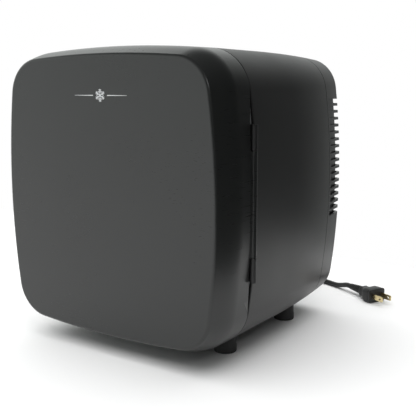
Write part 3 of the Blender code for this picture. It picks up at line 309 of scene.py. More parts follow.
def settled(obj):
    """Makes a piece's modifiers part of its plain mesh."""
    bpy.context.view_layer.update()
    graph = bpy.context.evaluated_depsgraph_get()
    mesh = bpy.data.meshes.new_from_object(obj.evaluated_get(graph))
    obj.modifiers.clear()
    obj.data = mesh
    return obj


def combined(obj, operation, *tools):
    """Cuts tools from a piece or joins them to it, and removes the tools."""
    for tool in tools:
        modifier = obj.modifiers.new(operation, "BOOLEAN")
        modifier.operation, modifier.object, modifier.solver = operation, tool, "EXACT"
    settled(obj)
    for tool in tools:
        bpy.data.objects.remove(tool)
    return obj


SLIVER = 0.00004


def eased_edges(obj, width, segments=2, angle=35):
    """Clears slivers from a piece and rounds its sharp edges, as a mould or a cutter leaves them."""
    shape = bmesh.new()
    shape.from_mesh(obj.data)
    bmesh.ops.remove_doubles(shape, verts=shape.verts, dist=SLIVER)
    bmesh.ops.dissolve_degenerate(shape, edges=shape.edges, dist=SLIVER)
    shape.to_mesh(obj.data)
    shape.free()
    modifier = obj.modifiers.new("edges", "BEVEL")
    modifier.width, modifier.segments = width, segments
    modifier.limit_method, modifier.angle_limit = "ANGLE", math.radians(angle)
    modifier.use_clamp_overlap = True
    return settled(obj)


def fitted(obj, body, finish, slot, *nodes, sharp=38):
    """Shades a finished piece, gives it its material, puts it on its body and lets it stand for CAD nodes."""
    mesh = obj.data
    for face in mesh.polygons:
        face.use_smooth = True
    mesh.set_sharp_from_angle(angle=math.radians(sharp))
    weighted = obj.modifiers.new("even", "WEIGHTED_NORMAL")
    weighted.keep_sharp = True
    settled(obj)
    obj.data.materials.clear()
    obj.data.materials.append(finish)
    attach(obj, body)
    if nodes:
        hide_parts(*nodes)
    return obj


def recipe(name, **sizes):
    """A Geometry Nodes tree with a geometry in and out and a named input for each size."""
    kinds = {int: "NodeSocketInt", float: "NodeSocketFloat", tuple: "NodeSocketVector",
             bpy.types.Material: "NodeSocketMaterial"}
    tree = bpy.data.node_groups.new(name, "GeometryNodeTree")
    tree.interface.new_socket("Geometry", in_out="INPUT", socket_type="NodeSocketGeometry")
    for label, kind in sizes.items():
        tree.interface.new_socket(label, in_out="INPUT", socket_type=kinds[kind])
    tree.interface.new_socket("Geometry", in_out="OUTPUT", socket_type="NodeSocketGeometry")
    return tree, op(tree, "NodeGroupInput")


def close_recipe(tree, geometry, finish):
    """Ends a tree: its instances are made real and take their material."""
    real = op(tree, "GeometryNodeRealizeInstances", {"Geometry": geometry})["Geometry"]
    dressed = op(tree, "GeometryNodeSetMaterial", {"Geometry": real, "Material": finish})["Geometry"]
    op(tree, "NodeGroupOutput", {"Geometry": dressed})


def upwards(tree, z):
    """A vector along +Z in a tree."""
    return op(tree, "ShaderNodeCombineXYZ", {"Z": z})["Vector"]


def point_place(tree):
    """The X, Y and Z of each point in a tree."""
    return op(tree, "ShaderNodeSeparateXYZ", {"Vector": op(tree, "GeometryNodeInputPosition")["Position"]})


def point_row(tree, count, start, step):
    """Points in a straight row in a tree."""
    return op(tree, "GeometryNodeMeshLine", {"Count": count, "Start Location": start, "Offset": step},
              mode="OFFSET")["Mesh"]


def copied(tree, points, piece, **turns):
    """Real copies of a piece at a tree's points."""
    copies = op(tree, "GeometryNodeInstanceOnPoints", {"Points": points, "Instance": piece, **turns})["Instances"]
    return op(tree, "GeometryNodeRealizeInstances", {"Geometry": copies})["Geometry"]


def united(tree, first, second):
    """Two meshes of a tree joined in one body."""
    whole = op(tree, "GeometryNodeMeshBoolean", {"Mesh 2": first}, operation="UNION", solver="EXACT")["Mesh"]
    tree.links.new(second, tree.nodes[-1].inputs["Mesh 2"])
    return whole


def cut_away(tree, body, tool):
    """A mesh of a tree with another cut from it."""
    return op(tree, "GeometryNodeMeshBoolean", {"Mesh 1": body, "Mesh 2": tool}, operation="DIFFERENCE",
              solver="EXACT")["Mesh"]


def grown(obj, tree, **sizes):
    """Runs a tree on a piece and keeps the result as its plain mesh."""
    modifier = obj.modifiers.new(tree.name, "NODES")
    modifier.node_group = tree
    for item in tree.interface.items_tree:
        if item.in_out == "INPUT" and item.name in sizes:
            modifier[item.identifier] = sizes[item.name]
    return settled(obj)


# The sleeve: rings of falling size along a tapered core that stands on +Z.
sleeve_tree, sleeve = recipe("ribbed_sleeve", Rings=int, Length=float, Thick=float, Thin=float,
                             RingLength=float, Finish=bpy.types.Material)
ring_step = upwards(sleeve_tree, maths(sleeve_tree, "DIVIDE", sleeve["Length"], sleeve["Rings"]))
ring_first = op(sleeve_tree, "ShaderNodeVectorMath", {0: ring_step, "Scale": 0.35}, operation="SCALE")["Vector"]
ring_line = point_row(sleeve_tree, sleeve["Rings"], ring_first, ring_step)
ring_radius = ranged(sleeve_tree, point_place(sleeve_tree)["Z"], 0.0, sleeve["Length"], sleeve["Thick"],
                     sleeve["Thin"])
ring_scale = op(sleeve_tree, "ShaderNodeCombineXYZ", {"X": ring_radius, "Y": ring_radius, "Z": 1.0})["Vector"]
ring_solid = op(sleeve_tree, "GeometryNodeMeshCylinder", {"Vertices": 28, "Radius": 1.0,
                                                          "Depth": sleeve["RingLength"]})["Mesh"]
ring_row = copied(sleeve_tree, ring_line, ring_solid, Scale=ring_scale)
close_recipe(sleeve_tree, united(sleeve_tree, sleeve["Geometry"], ring_row), sleeve["Finish"])

SLEEVE_LENGTH = 0.021
SLEEVE_THICK, SLEEVE_THIN = LEAD_RADIUS * 1.7, LEAD_RADIUS * 1.15
SLEEVE_RINGS = 7
PLUG_AIM = Vector((0.894, -0.447, 0.0)).normalized()
UP = Vector((0, 0, 1))


def turned(name, profile, steps=32):
    """A solid turned about +Z from (radius, height) pairs that start and end on or near the axis."""
    rings = []
    for radius, height in profile:
        radius = max(radius, 1e-5)
        angles = [2 * math.pi * i / steps for i in range(steps)]
        rings.append([(radius * math.cos(a), radius * math.sin(a), height) for a in angles])
    return loft(name, rings)


def rod(name, radius, low, high, steps):
    """A plain round bar about +Z."""
    return turned(name, [(0, low), (radius, low), (radius, high), (0, high)], steps)


def ribbed_sleeve(name, place, along, node):
    """A strain relief that starts thick at a place and thins along its direction."""
    core = turned(name, [(0, 0), (SLEEVE_THICK * 0.86, 0), (SLEEVE_THIN * 0.93, SLEEVE_LENGTH), (0, SLEEVE_LENGTH)])
    grown(core, sleeve_tree, Rings=SLEEVE_RINGS, Length=SLEEVE_LENGTH, Thick=SLEEVE_THICK, Thin=SLEEVE_THIN,
          RingLength=SLEEVE_LENGTH / SLEEVE_RINGS * 0.55, Finish=lead_rubber)
    core.data.transform(Matrix.Translation(place) @ along.to_track_quat("Z", "Y").to_matrix().to_4x4())
    eased_edges(core, 0.0002, 1, 50)
    return fitted(core, "cabinet", lead_rubber, "lead_black", node, sharp=50)


def along_ring(start, aim, run, half_across, half_up, radius, lift=0.0):
    """A rounded ring square to a level aim, a run along it."""
    across = Vector((-aim.y, aim.x, 0))
    return [start + aim * run + across * a + UP * (b + lift) for a, b in rounded(half_across, half_up, radius)]


BACK = Vector((0, 1, 0))
CONNECTOR_LENGTH = 0.018
FIT_GAP = 0.0004
inlet_face = Vector((INLET_X, REAR_Y, INLET_Z))
connector_rings = [along_ring(inlet_face, BACK, run, across, up, radius) for run, across, up, radius in (
    (-0.0086, 0.0070, 0.0032, 0.0031), (-0.0080, 0.0078, 0.0038, 0.0036), (0.0004, 0.0078, 0.0038, 0.0036),
    (0.0004, 0.0078, 0.0048, 0.0028), (0.0010, 0.0085, 0.0055, 0.0030), (0.0060, 0.0085, 0.0055, 0.0030),
    (0.0070, 0.0079, 0.0050, 0.0030), (0.0115, 0.0076, 0.0048, 0.0030), (0.0125, 0.0082, 0.0052, 0.0035),
    (0.0160, 0.0080, 0.0052, 0.0040), (0.0176, 0.0066, 0.0050, 0.0044), (0.0180, 0.0056, 0.0046, 0.0044))]
connector = eased_edges(loft("connector_body", connector_rings), 0.0003, 2, 40)
fitted(connector, "cabinet", lead_rubber, "lead_black", "mains_connector")
ribbed_sleeve("connector_sleeve", inlet_face + BACK * (CONNECTOR_LENGTH + FIT_GAP), BACK, "connector_relief")

GRIP_START = SLEEVE_LENGTH + FIT_GAP
HEAD_START = GRIP_START + 0.0095
HEAD_END = HEAD_START + 0.016
ribbed_sleeve("plug_sleeve", PLUG_START + PLUG_AIM * SLEEVE_LENGTH, -PLUG_AIM, "plug_relief")
plug_rings = [along_ring(PLUG_START, PLUG_AIM, run, across, up, radius) for run, across, up, radius in (
    (GRIP_START, 0.0052, 0.0048, 0.0040), (GRIP_START + 0.0006, 0.0064, 0.0056, 0.0040),
    (GRIP_START + 0.0020, 0.0070, 0.0060, 0.0035), (GRIP_START + 0.0040, 0.0066, 0.0056, 0.0035),
    (GRIP_START + 0.0060, 0.0068, 0.0058, 0.0035), (HEAD_START - 0.0010, 0.0072, 0.0060, 0.0035),
    (HEAD_START + 0.0012, 0.0100, 0.0070, 0.0040), (HEAD_START + 0.0030, 0.0116, 0.0078, 0.0045),
    (HEAD_START + 0.0060, 0.0120, 0.0080, 0.0045), (HEAD_START + 0.0126, 0.0120, 0.0080, 0.0040),
    (HEAD_START + 0.0132, 0.0115, 0.0075, 0.0040), (HEAD_START + 0.0140, 0.0120, 0.0080, 0.0035),
    (HEAD_END - 0.0006, 0.0120, 0.0080, 0.0030), (HEAD_END, 0.0114, 0.0074, 0.0028))]
plug = eased_edges(loft("plug_body", plug_rings), 0.0003, 2, 40)
fitted(plug, "cabinet", lead_rubber, "lead_black", "mains_plug")

brass = surface("blade_brass", (0.72, 0.60, 0.34), 0.28, metallic=1.0, tint=0.08, patch=90, grain=0.00001,
                stretch=(1, 1, 8), marks=0.12)
BLADE_APART = 0.0127
BLADE_START = HEAD_END + FIT_GAP
BLADE_LENGTH, BLADE_THICKNESS, BLADE_HEIGHT = 0.016, 0.0015, 0.0063
BLADE_HOLE, HOLE_SHARE = 0.0015, 0.72
plug_side = Vector((-PLUG_AIM.y, PLUG_AIM.x, 0))
for label, side in (("left", 1), ("right", -1)):
    root = PLUG_START + plug_side * side * BLADE_APART / 2
    blade_rings = [along_ring(root, PLUG_AIM, BLADE_START + run, BLADE_THICKNESS / 2 * thin, BLADE_HEIGHT / 2 * low,
                              0.0003) for run, thin, low in ((0, 1, 1), (BLADE_LENGTH - 0.0022, 1, 1),
                                                             (BLADE_LENGTH - 0.0009, 0.8, 0.93),
                                                             (BLADE_LENGTH, 0.45, 0.78))]
    blade = loft(f"blade_{label}", blade_rings)
    hole = rod("blade_hole", BLADE_HOLE, -2 * BLADE_HOLE, 2 * BLADE_HOLE, 24)
    hole_place = root + PLUG_AIM * (BLADE_START + BLADE_LENGTH * HOLE_SHARE)
    hole.data.transform(Matrix.Translation(hole_place) @ plug_side.to_track_quat("Z", "Y").to_matrix().to_4x4())
    fitted(combined(blade, "DIFFERENCE", hole), "cabinet", brass, "blade_brass", f"plug_blade_{label}")

tie_rubber = surface("tie_rubber", (0.02, 0.02, 0.021), 0.7, tint=0.25, patch=200, grain=0.00006, grain_size=1500)
TIE_WALL = 0.00078


def measured(node):
    """A node's lowest and highest corners, its middle and its half size."""
    low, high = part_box(node)
    return low, high, (low + high) / 2, (high - low) / 2


def facing_ring(x, z, half_across, half_up, radius, y):
    """A rounded upright loop about (x, z), at a place along the fridge's depth."""
    return [(x + a, y, z + b) for a, b in rounded(half_across, half_up, radius)]


tie_low, tie_high, tie_middle, tie_half = measured("lead_tie")
tie_rings = [facing_ring(tie_middle.x, tie_middle.z, tie_half.x - shrink, tie_half.z - shrink, radius, y)
             for shrink, y, radius in ((TIE_WALL, tie_low.y, 0.0020), (0.0002, tie_low.y, 0.0026),
                                       (0.0, tie_low.y + 0.0003, 0.0028), (0.0, tie_high.y - 0.0003, 0.0028),
                                       (0.0002, tie_high.y, 0.0026), (TIE_WALL, tie_high.y, 0.0020))]
fitted(loft("tie_band", tie_rings, closed=True), "cabinet", tie_rubber, "rubber_black", "lead_tie")


# ------------ Door skin
# The door's outer moulding in ABS with a satin black finish: a flat face, a tight roll round it, and deep sides
# that bow with the cabinet. Both upright rear edges are cut back, for the knuckles and as a finger grip.
WIDTH, HEIGHT, DEPTH = 0.264, 0.275, 0.252
SIDE_BOW, TOP_BOW, CORNER_RADIUS = 0.014, 0.008, 0.043
MID_Z = 0.1495
WALL = 0.0025
DOOR_DEPTH = 0.0505
BODY_FRONT = 0.0513
FACE_INSET, FACE_ROLL, FACE_BACK = 0.0108, 0.0036, 0.0002
ROLL_TURN = math.radians(70)
CREST_DEPTH, CREST_INSET = 0.030, 0.0003
HINGE_X = 0.131
HINGE_DEPTH = 0.048
KNUCKLE_RADIUS = 0.0029
RELIEF_ANGLE = math.radians(40)
RELIEF_DEPTH = 0.00799
BARREL_HALF = 0.0464
PIN_BORE = 0.0013
SIDE_STEPS, CORNER_STEPS, TOP_STEPS, ROLL_STEPS, SHOULDER_STEPS = 8, 14, 8, 10, 10


def at(depth):
    """The Y of a depth behind the door's face."""
    return depth - DEPTH / 2


def arc(centre, radius, start, end, steps):
    """Points on an arc, without its last one."""
    angles = [start + (end - start) * i / steps for i in range(steps)]
    return [(centre[0] + radius * math.cos(a), centre[1] + radius * math.sin(a)) for a in angles]


def outline(inset=0.0):
    """The bowed and round-cornered outline seen from the front, moved inwards by inset."""
    half_width, half_height = WIDTH / 2, HEIGHT / 2
    side_radius = (half_height**2 + SIDE_BOW**2) / (2 * SIDE_BOW)
    top_radius = (half_width**2 + TOP_BOW**2) / (2 * TOP_BOW)
    side_x, top_z = half_width - side_radius, half_height - top_radius
    reach_side, reach_top = side_radius - CORNER_RADIUS, top_radius - CORNER_RADIUS
    span = math.hypot(side_x, top_z)
    along = (span**2 + reach_side**2 - reach_top**2) / (2 * span)
    off = math.sqrt(reach_side**2 - along**2)
    towards = Vector((-side_x, top_z)) / span
    corner = Vector((side_x, 0)) + along * towards + off * Vector((-towards.y, towards.x))
    if corner.x < 0 or corner.y < 0:
        corner = Vector((side_x, 0)) + along * towards - off * Vector((-towards.y, towards.x))
    side_end = math.atan2(corner.y, corner.x - side_x)
    top_start = math.atan2(corner.y - top_z, corner.x)
    quarter = arc((side_x, 0), side_radius - inset, 0, side_end, SIDE_STEPS)
    quarter += arc(corner, CORNER_RADIUS - inset, side_end, top_start, CORNER_STEPS)
    quarter += arc((0, top_z), top_radius - inset, top_start, math.pi / 2, TOP_STEPS)
    upper = quarter + [(0.0, half_height - inset)] + [(-x, z) for x, z in reversed(quarter)]
    return upper + [(x, -z) for x, z in reversed(upper[1:-1])]


def ring(loop, depth):
    """An outline about the middle height, at a depth."""
    return [(x, at(depth), MID_Z + z) for x, z in loop]


def block(name, centre, size, turn=0.0):
    """A block about a centre, turned about +Z."""
    shape = bmesh.new()
    place = Matrix.Translation(centre) @ Matrix.Rotation(turn, 4, "Z") @ Matrix.Diagonal((*size, 1))
    bmesh.ops.create_cube(shape, size=1, matrix=place)
    return new_piece(name, shape)


def slab_tool(name, centre, normal, size):
    """A cutting block that lies beyond a flat upright face."""
    return block(name, centre, size, math.atan2(normal.y, normal.x))


def relieved(obj, skin):
    """Cuts both upright rear edges back along flat faces."""
    tools = []
    for side in (1, -1):
        normal = Vector((side * math.cos(RELIEF_ANGLE), math.sin(RELIEF_ANGLE), 0))
        foot = Vector((side * (WIDTH / 2 - RELIEF_DEPTH), at(DOOR_DEPTH), MID_Z))
        size = (CORNER_RADIUS, 2 * CORNER_RADIUS, 2 * HEIGHT)
        tools.append(slab_tool("relief", foot + normal * (CORNER_RADIUS / 2 - skin), normal, size))
    return combined(obj, "DIFFERENCE", *tools)


def door_form(name, skin, rear, face=0.0):
    """The door's form moved inwards by skin, back to a depth: a tight roll round the face, then a long shoulder."""
    sections = []
    radius = FACE_ROLL - skin
    for i in range(ROLL_STEPS + 1):
        turn = ROLL_TURN * i / ROLL_STEPS
        depth = FACE_ROLL - radius * math.cos(turn)
        sections.append((depth + face * (1 - depth / FACE_ROLL), FACE_INSET - radius * math.sin(turn)))
    start, inset = sections[-1]
    reach, slope = CREST_DEPTH - start, -1 / math.tan(ROLL_TURN)
    for i in range(1, SHOULDER_STEPS + 1):
        t = i / SHOULDER_STEPS
        rise = (2 * t**3 - 3 * t**2 + 1) * inset + (t**3 - 2 * t**2 + t) * reach * slope
        sections.append((start + reach * t, rise + (3 * t**2 - 2 * t**3) * (skin + CREST_INSET)))
    sections += [((CREST_DEPTH + rear) / 2, skin + CREST_INSET / 2), (rear, skin)]
    return relieved(loft(name, [ring(outline(inset), depth) for depth, inset in sections]), skin)


def upright(name, radius, low, high, steps=40):
    """An upright rod on the hinge's axis."""
    made = rod(name, radius, low, high, steps)
    made.data.transform(Matrix.Translation((HINGE_X, at(HINGE_DEPTH), MID_Z)))
    return made


door_satin = surface("door_satin", (0.0155, 0.0165, 0.0162), 0.30, tint=0.10, patch=9, swing=0.05, grain=0.000010,
                     grain_size=900, marks=0.03)
door_skin = combined(door_form("door_skin", 0.0, DOOR_DEPTH, FACE_BACK), "DIFFERENCE",
                     door_form("door_cavity", WALL, DOOR_DEPTH + WALL))
relief_normal = Vector((math.cos(RELIEF_ANGLE), math.sin(RELIEF_ANGLE), 0))
relief_foot = Vector((WIDTH / 2 - RELIEF_DEPTH, at(DOOR_DEPTH), MID_Z))
hinge_axis = Vector((HINGE_X, at(HINGE_DEPTH), MID_Z))
web_reach = (hinge_axis - relief_foot).dot(relief_normal) + WALL * 0.8
web = slab_tool("barrel_web", hinge_axis - relief_normal * web_reach / 2, relief_normal,
                (web_reach, 1.5 * KNUCKLE_RADIUS, 2 * BARREL_HALF))
combined(door_skin, "UNION", web, upright("barrel", KNUCKLE_RADIUS, -BARREL_HALF, BARREL_HALF))
combined(door_skin, "DIFFERENCE", upright("barrel_bore", PIN_BORE, -2 * BARREL_HALF, 2 * BARREL_HALF, 24))
eased_edges(door_skin, 0.0003, 2, 42)
fitted(door_skin, "door", door_satin, "door_black", "door_shell", sharp=30)


# ------------ Badge
# A thin silver badge in brushed aluminium foil: a snowflake with a fine bar on each side. It is glued flush in a
# shallow recess in the door's face.
BADGE_Z = 0.2425
FLAKE_ARM, FLAKE_STROKE = 0.0058, 0.00042
BAR_NEAR, BAR_FAR, BAR_HALF = 0.0085, 0.0310, 0.00042
BADGE_FRONT, BADGE_SINK = 0.0, 0.0006
badge_silver = surface("badge_silver", (0.60, 0.61, 0.62), 0.34, metallic=0.25, tint=0.06, patch=300, grain=0.000006,
                       stretch=(1, 1, 14))


def flake_loop():
    """A six-armed snowflake's outline, with two pairs of barbs on each arm."""
    w, h = FLAKE_STROKE, FLAKE_STROKE * 0.85
    slope, lean = Vector((0.5, 0.8660)), Vector((0.8660, -0.5))
    side = [Vector((w * 1.732, w))]
    for start, length in ((0.42, 0.30), (0.70, 0.22)):
        base = Vector((FLAKE_ARM * start, w))
        tip = base + slope * FLAKE_ARM * length
        far = tip + lean * 2 * h
        side += [base, tip, far, far - slope * (far.y - w) / slope.y]
    side += [Vector((FLAKE_ARM - w, w)), Vector((FLAKE_ARM, 0))]
    arm = [(p.x, -p.y) for p in side[1:-1]] + [(p.x, p.y) for p in reversed(side)]
    loop = []
    for i in range(6):
        turn = math.pi / 6 + math.pi / 3 * i
        cos, sin = math.cos(turn), math.sin(turn)
        loop += [(x * cos - y * sin, x * sin + y * cos) for x, y in arm]
    return loop


def bar_loop(side):
    """A fine bar that tapers away from the snowflake."""
    near, far = side * BAR_NEAR, side * BAR_FAR
    return [(near, -BAR_HALF), (far, -BAR_HALF * 0.35), (far, BAR_HALF * 0.35), (near, BAR_HALF)]


badge_shape = bmesh.new()
for loop in (flake_loop(), bar_loop(1), bar_loop(-1)):
    front = [badge_shape.verts.new((x, at(BADGE_FRONT), BADGE_Z + z)) for x, z in loop]
    rear = [badge_shape.verts.new((x, at(BADGE_SINK), BADGE_Z + z)) for x, z in loop]
    badge_shape.faces.new(front)
    badge_shape.faces.new(rear)
    for i in range(len(loop)):
        j = (i + 1) % len(loop)
        badge_shape.faces.new((front[i], front[j], rear[j], rear[i]))
fitted(new_piece("door_badge", badge_shape), "door", badge_silver, "steel")


# ------------ Door liner, gasket and bin
# The inner door is a pale HIPS pan that plugs the cabin's mouth, with a magnet behind its flange. A bellows gasket
# in soft PVC runs round it, and a slotted bin in the same pale plastic clips on low down.
CABIN_HALF_WIDTH, CABIN_HALF_HEIGHT, CABIN_RADIUS = 0.096, 0.101, 0.022
LINER_WALL = 0.002
PLUG_MARGIN, PLUG_REACH = 0.004, 0.060
FLANGE_DEPTH, FLANGE_THICKNESS = 0.0440, 0.0023


def cabin_loop(grown_by, steps=12):
    """The cabin's rounded opening, grown outwards."""
    return rounded(CABIN_HALF_WIDTH + grown_by, CABIN_HALF_HEIGHT + grown_by, CABIN_RADIUS + grown_by, steps)


def fillet(radius, steps=6):
    """(run, drop) pairs round a quarter circle, from its flat end to its upright end."""
    angles = [math.pi / 2 * i / steps for i in range(steps + 1)]
    return [(radius * (1 - math.sin(a)), radius * (1 - math.cos(a))) for a in angles]


liner_hips = surface("liner_hips", (0.60, 0.62, 0.635), 0.34, tint=0.035, patch=14, swing=0.07, grain=0.000012,
                     grain_size=1200, marks=0.05)
flange_front = FLANGE_DEPTH - FLANGE_THICKNESS
liner_skin = WALL + FIT_GAP
door_liner = relieved(loft("door_liner_pan", [ring(outline(liner_skin), flange_front),
                                              ring(outline(liner_skin), FLANGE_DEPTH)]), liner_skin)
pan_rings = [ring(cabin_loop(-PLUG_MARGIN), flange_front + 0.0004)]
pan_rings += [ring(cabin_loop(-PLUG_MARGIN - drop), PLUG_REACH - run) for run, drop in fillet(0.005)]
pan = loft("door_pan", pan_rings)
hollow_rings = [ring(cabin_loop(-PLUG_MARGIN - LINER_WALL), flange_front - WALL),
                ring(cabin_loop(-PLUG_MARGIN - LINER_WALL), PLUG_REACH - LINER_WALL - 0.003),
                ring(cabin_loop(-PLUG_MARGIN - LINER_WALL - 0.003), PLUG_REACH - LINER_WALL)]
combined(door_liner, "UNION", pan)
combined(door_liner, "DIFFERENCE", loft("pan_hollow", hollow_rings))
eased_edges(door_liner, 0.0004, 2, 35)
fitted(door_liner, "door", liner_hips, "liner_grey", "door_liner")

seal_pvc = surface("seal_pvc", (0.085, 0.087, 0.09), 0.55, tint=0.12, patch=60, grain=0.00003, grain_size=900)
GASKET_PROFILE = ((0.0030, 0.04442), (0.0092, 0.04442), (0.0098, 0.04480), (0.0098, 0.04550), (0.0090, 0.04610),
                  (0.0084, 0.04670), (0.0088, 0.04740), (0.0096, 0.04800), (0.0100, 0.04880), (0.0100, 0.05040),
                  (0.0096, 0.05090), (0.0088, 0.05108), (0.0034, 0.05108), (0.0026, 0.05090), (0.0021, 0.05040),
                  (0.0021, 0.04880), (0.0026, 0.04800), (0.0034, 0.04740), (0.0038, 0.04670), (0.0032, 0.04610),
                  (0.0024, 0.04550), (0.0024, 0.04480))
gasket = loft("door_seal", [ring(cabin_loop(g), depth) for g, depth in GASKET_PROFILE], closed=True)
fitted(gasket, "door", seal_pvc, "seal_grey", "door_gasket")

# One tree cuts every row of slots: Count boxes of a size, a step apart, each with a share that splays it outwards.
slot_tree, slot = recipe("row_of_slots", Count=int, Start=tuple, Step=tuple, Size=tuple, Splay=float,
                         Finish=bpy.types.Material)
slot_place = point_place(slot_tree)
slot_out = maths(slot_tree, "MAXIMUM", maths(slot_tree, "MULTIPLY", slot_place["X"], slot["Splay"]), 0.0)
slot_above = maths(slot_tree, "GREATER_THAN", slot_place["Z"], 0.0)
slot_shift = upwards(slot_tree, maths(slot_tree, "MULTIPLY", slot_out, slot_above))
slot_box = op(slot_tree, "GeometryNodeMeshCube", {"Size": slot["Size"]})["Mesh"]
slot_wedge = op(slot_tree, "GeometryNodeSetPosition", {"Geometry": slot_box, "Offset": slot_shift})["Geometry"]
slot_tools = copied(slot_tree, point_row(slot_tree, slot["Count"], slot["Start"], slot["Step"]), slot_wedge)
close_recipe(slot_tree, cut_away(slot_tree, slot["Geometry"], slot_tools), slot["Finish"])


def slotted(obj, count, start, step, size, finish, splay=0.0):
    """Cuts a row of slots through a piece."""
    return grown(obj, slot_tree, Count=count, Start=start, Step=step, Size=size, Splay=splay, Finish=finish)


def level_ring(middle, half, shrink, radius, z):
    """A rounded level loop about a middle, moved inwards, at a height."""
    return [(middle.x + x, middle.y + y, z) for x, y in rounded(half.x - shrink, half.y - shrink, radius)]


bin_low, bin_high, bin_middle, bin_half = measured("door_bin")
BIN_RADIUS, BIN_WALL = 0.006, 0.002
bin_rings = [level_ring(bin_middle, bin_half, shrink, BIN_RADIUS - shrink * 0.8, z) for shrink, z in (
    (0.0030, bin_low.z), (0.0014, bin_low.z + 0.0006), (0.0006, bin_low.z + 0.003), (0.0006, bin_high.z - 0.0040),
    (0.0001, bin_high.z - 0.0034), (0.0, bin_high.z - 0.0010), (0.0006, bin_high.z), (BIN_WALL, bin_high.z),
    (BIN_WALL + 0.0003, bin_high.z - 0.0010), (BIN_WALL + 0.0006, bin_low.z + 0.0040),
    (BIN_WALL + 0.0040, bin_low.z + BIN_WALL))]
door_tray = loft("door_tray", bin_rings)
BIN_SLOTS, BIN_PITCH = 11, 0.0105
slotted(door_tray, BIN_SLOTS, (-BIN_PITCH * (BIN_SLOTS - 1) / 2, bin_high.y, bin_middle.z + 0.002), (BIN_PITCH, 0, 0),
        (0.0045, 0.008, 0.026), liner_hips)
eased_edges(door_tray, 0.0003, 1, 40)
fitted(door_tray, "door", liner_hips, "liner_grey", "door_bin")


# ------------ Cabinet shell
# A bowed sleeve in black ABS with a fine moulded texture. It draws in towards the rear, has a rounded front lip,
# and carries two hinge knuckles on its front edge at the right.
TAPER_START, TAPER_AT_REAR, TAPER_TOP_SHARE = DEPTH / 2, 0.0113, 0.35
COVER_SEAM = 0.2095
EDGE_LIP = 0.0008
KNUCKLE_LOW, KNUCKLE_HIGH = 0.0470, 0.0690
LIP_STEPS, BODY_STEPS = 4, 10
ROOT_REACH, ROOT_SET_BACK, ROOT_TRIM = 0.0052, 0.0012, 0.0008
HAIR = 0.00002


def drawn_in(depth, inset=0.0):
    """The cabinet's outline at a depth, moved inwards by inset. Its top draws in less than its sides."""
    side = TAPER_AT_REAR * (max(0.0, depth - TAPER_START) / (DEPTH - TAPER_START))**2
    stretch = (HEIGHT / 2 - TAPER_TOP_SHARE * side) / (HEIGHT / 2 - side)
    return [(x, z * stretch) for x, z in outline(inset + side)]


def cabinet_form(name, skin, front, rear, lip=0.0):
    """The cabinet's form moved inwards by skin, between two depths."""
    sections = [(front + run, skin + drop) for drop, run in fillet(lip, LIP_STEPS)] if lip else [(front, skin)]
    span = rear - TAPER_START
    sections += [(TAPER_START + span * i / BODY_STEPS, skin) for i in range(BODY_STEPS + 1)]
    return loft(name, [ring(drawn_in(depth, inset), depth) for depth, inset in sections])


def box_tool(name, low, high):
    """A block between two corners, for cutting or joining."""
    low, high = Vector(low), Vector(high)
    return block(name, (low + high) / 2, high - low)


shell_abs = surface("shell_abs", (0.0165, 0.0165, 0.0168), 0.42, tint=0.14, patch=12, swing=0.05, grain=0.00003,
                    grain_size=1500, marks=0.03)
shell = combined(cabinet_form("cabinet_sleeve", 0.0, BODY_FRONT, COVER_SEAM, EDGE_LIP), "DIFFERENCE",
                 cabinet_form("sleeve_hollow", WALL, BODY_FRONT - WALL, COVER_SEAM + WALL))
for side in (1, -1):
    low, high = sorted((side * KNUCKLE_LOW, side * KNUCKLE_HIGH))
    root_low = hinge_axis + Vector((-ROOT_REACH, ROOT_SET_BACK, low + HAIR))
    root_high = (HINGE_X - ROOT_TRIM, at(BODY_FRONT + WALL), MID_Z + high - HAIR)
    combined(shell, "UNION", box_tool("root", root_low, root_high), upright("knuckle", KNUCKLE_RADIUS, low, high))
    combined(shell, "DIFFERENCE", upright("bore", PIN_BORE, low - 0.004, high + 0.004, 24))
eased_edges(shell, 0.00025, 2, 42)
fitted(shell, "cabinet", shell_abs, "shell_black", "cabinet_shell", sharp=32)

steel = surface("pin_steel", (0.55, 0.55, 0.56), 0.28, metallic=1.0, tint=0.06, patch=200, grain=0.000008,
                stretch=(1, 1, 10), marks=0.1)


def dressed(finish, *nodes):
    """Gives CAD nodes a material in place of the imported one."""
    for node in nodes:
        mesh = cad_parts[node].data
        mesh.materials.clear()
        mesh.materials.append(finish)


dressed(steel, "hinge_pin_upper", "hinge_pin_lower", "door_magnet", "striker_plate")


# ------------ Front frame, liner and foam
# A flat pale collar closes the shell's mouth round the cabin and meets the gasket. The cabin is a pale HIPS tub
# with soft corners, two moulded rails for the shelf and a square way at the rear for the cold block.
FRAME_FRONT, FRAME_THICKNESS, FRAME_GAP = BODY_FRONT + FIT_GAP / 2, 0.0023, 0.0008
# The collar's pale grey is the liner plastic and also stands in for the bright reflection on the strip seen in the gap
# beside the hinge: partly painted reflection.
collar = loft("front_collar", [ring(outline(WALL + FRAME_GAP), FRAME_FRONT),
                               ring(outline(WALL + FRAME_GAP), FRAME_FRONT + FRAME_THICKNESS)])
mouth = loft("mouth", [ring(cabin_loop(LINER_WALL + FIT_GAP), FRAME_FRONT - WALL),
                       ring(cabin_loop(LINER_WALL + FIT_GAP), FRAME_FRONT + 2 * WALL)])
notches = []
for side in (1, -1):
    low, high = sorted((side * (KNUCKLE_LOW - FIT_GAP), side * (KNUCKLE_HIGH + FIT_GAP)))
    notches.append(box_tool("notch", (HINGE_X - ROOT_REACH - FIT_GAP, at(BODY_FRONT - WALL), MID_Z + low),
                            (WIDTH / 2 + WALL, at(BODY_FRONT + 2 * WALL), MID_Z + high)))
combined(collar, "DIFFERENCE", mouth, *notches)
eased_edges(collar, 0.0003, 2, 35)
fitted(collar, "cabinet", liner_hips, "liner_grey", "front_frame")

